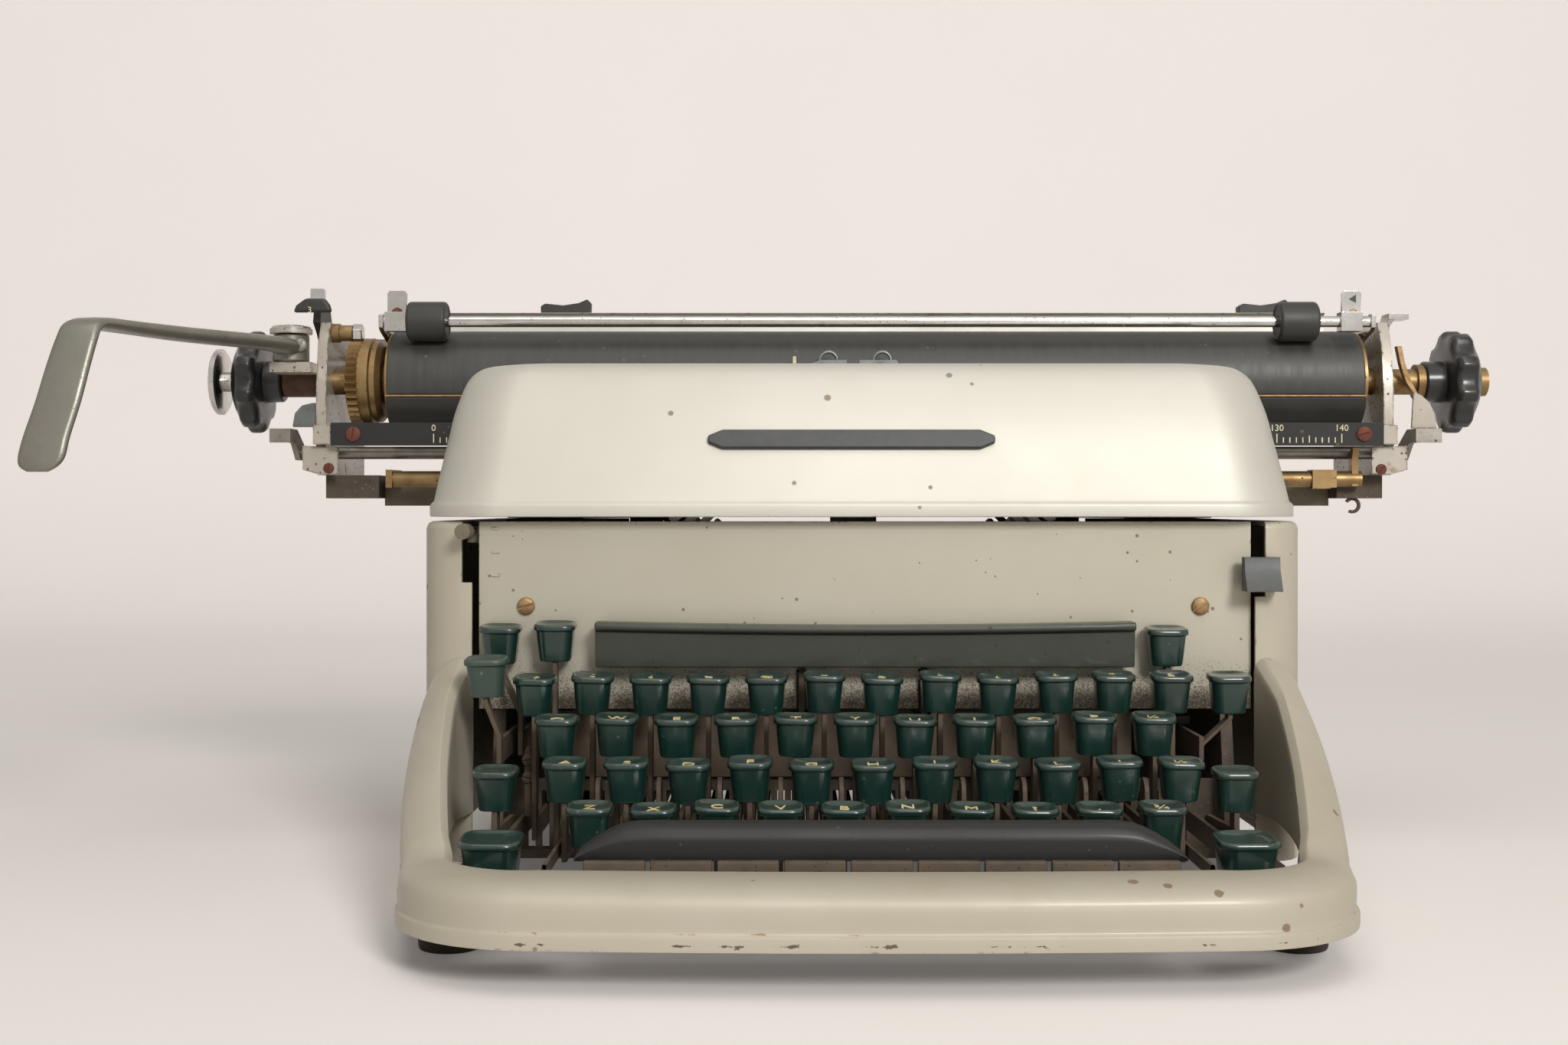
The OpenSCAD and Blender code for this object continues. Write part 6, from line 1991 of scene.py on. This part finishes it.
@dataclass(frozen=True)
class Lamp:
    """Soft square lamp that looks at the machine.

    Attributes:
        name: Name of the lamp.
        place: Place in metres.
        size: Side in metres.
        power: Power in watts.
    """

    name: str
    place: Point
    size: float
    power: float

    def hang(self, target: Point) -> None:
        """Hangs the lamp.

        Args:
            target: Point that it looks at.
        """
        clear_selection()
        bpy.ops.object.light_add(type="AREA", location=self.place)
        lamp = bpy.context.object
        lamp.name = self.name
        lamp.data.shape = "SQUARE"
        lamp.data.size = self.size
        lamp.data.energy = self.power
        lamp.data.color = (1.0, 0.988, 0.97)
        way = Vector(target) - Vector(self.place)
        lamp.rotation_euler = way.to_track_quat("-Z", "Y").to_euler()


LAMPS = (
    Lamp("key_lamp", (0.61, -1.74, 0.95), 0.45, 25.5),
    Lamp("front_lamp", (0.28, -1.61, 1.57), 1.0, 5.0),
    Lamp("top_lamp", (0.0, -0.6, 1.9), 1.4, 9.5),
)


@dataclass
class Studio:
    """Pale floor with a curved backdrop, soft lamps and the camera.

    Attributes:
        eye: Place of the camera in bench millimetres.
        lens: Focal length in millimetres on a 36 mm sensor.
        lift: Vertical shift of the picture.
        machine: Point that the lamps look at, in metres.
        front: Place of the floor's front edge in metres.
        flat: Place where the floor starts to bend up.
        bend: Radius of the bend.
        wall: Height of the wall's top.
    """

    eye: Point = (-27.0, -510.0, 134.0)
    lens: float = 43.33
    lift: float = -22.5 / 2048
    machine: Point = (0.0, 0.0, 0.1)
    front: float = -3.0
    flat: float = 1.6
    bend: float = 1.0
    wall: float = 4.0

    def seen(self, graph: Graph) -> bpy.types.NodeSocket:
        """Gives 1 where the camera, a gloss or a glass looks at the surface, and 0 elsewhere."""
        path = graph.add("LightPath")
        return graph.math("MAXIMUM", path.outputs["Is Camera Ray"], graph.math(
            "MAXIMUM", path.outputs["Is Glossy Ray"], path.outputs["Is Transmission Ray"]))

    def backdrop(self) -> None:
        """Builds the floor and the backdrop as one sheet."""
        clear_selection()
        bpy.ops.mesh.primitive_plane_add(size=1.0)
        floor = bpy.context.object
        floor.name = "floor"
        shape = Shape(floor)
        flat, bend = self.flat, self.bend
        curve = [(flat + bend * math.sin(a), bend - bend * math.cos(a))
                 for a in (math.radians(7.5 * i) for i in range(1, 13))]
        profile = [(self.front, 0.0), (flat, 0.0), *curve, (flat + bend, self.wall)]
        with shape.edit():
            everything()
            bpy.ops.transform.resize(value=(8.0, 0.5, 1.0))
            bpy.ops.transform.translate(value=(0.0, self.front - 0.25, 0.0))
            bpy.ops.mesh.select_mode(type="EDGE")
            bpy.ops.mesh.select_all(action="DESELECT")
            mesh = bmesh.from_edit_mesh(floor.data)
            for edge in mesh.edges:
                if all(abs(v.co.y - self.front) < 1e-4 for v in edge.verts):
                    edge.select_set(True)
            bmesh.update_edit_mesh(floor.data)
            for (y, z), (next_y, next_z) in zip(profile, profile[1:]):
                extrude((0.0, next_y - y, next_z - z))
            everything()
            bpy.ops.mesh.normals_make_consistent(inside=False)
        bpy.ops.object.shade_smooth()
        material = bpy.data.materials.new("pale_floor")
        material.use_nodes = True
        graph = Graph(material.node_tree)
        shader = material.node_tree.nodes["Principled BSDF"]
        worn = graph.ramp(graph.noise(graph.place(), 3.0, 3.0, 0.5), 0.35, 0.65)
        graph.feed(shader.inputs["Base Color"], graph.mix(worn, tint(240, 235, 231), tint(237, 232, 227)))
        shader.inputs["Roughness"].default_value = 0.9
        split = graph.add("SeparateXYZ")
        graph.feed(split.inputs[0], graph.place())
        far = graph.blend(graph.ramp(split.outputs["Y"], 0.2, 2.2), 0.1, 0.52)
        shader.inputs["Emission Color"].default_value = tint(246, 237, 232)
        glow = graph.math("MULTIPLY", far, self.seen(graph))
        graph.feed(shader.inputs["Emission Strength"], glow)
        floor.data.materials.append(material)

    def world(self) -> None:
        """Fills the room with an even pale light."""
        world = bpy.data.worlds.new("room")
        bpy.context.scene.world = world
        world.use_nodes = True
        graph = Graph(world.node_tree)
        ground = world.node_tree.nodes["Background"]
        graph.feed(ground.inputs["Color"], tint(240, 236, 231))
        graph.feed(ground.inputs["Strength"], graph.blend(self.seen(graph), 0.2, 0.8))

    def camera(self) -> None:
        """Sets the camera at the photograph's place."""
        data = bpy.data.cameras.new("camera")
        data.lens = self.lens
        data.sensor_width = 36.0
        data.shift_y = self.lift
        data.clip_start = 0.01
        camera = bpy.data.objects.new("camera", data)
        camera.location = BENCH_TO_ROW @ Vector(self.eye)
        camera.rotation_euler = (math.pi / 2, 0.0, 0.0)
        bpy.context.scene.collection.objects.link(camera)
        bpy.context.scene.camera = camera

    def build(self) -> None:
        """Builds the studio."""
        self.camera()
        self.backdrop()
        for lamp in LAMPS:
            lamp.hang(self.machine)
        self.world()
        bpy.context.scene.view_settings.view_transform = "Standard"


def main() -> None:
    """Builds the typewriter's looks from the case to the carriage."""
    logging.basicConfig(level=logging.INFO, format="%(message)s")
    for part in (Studio(), Surround(), CasePanels(), TopCover(), Keyboard(), TypingWorks(), Carriage()):
        part.build()
        LOG.info("%s is done", type(part).__name__)


if __name__ == "__main__":
    main()
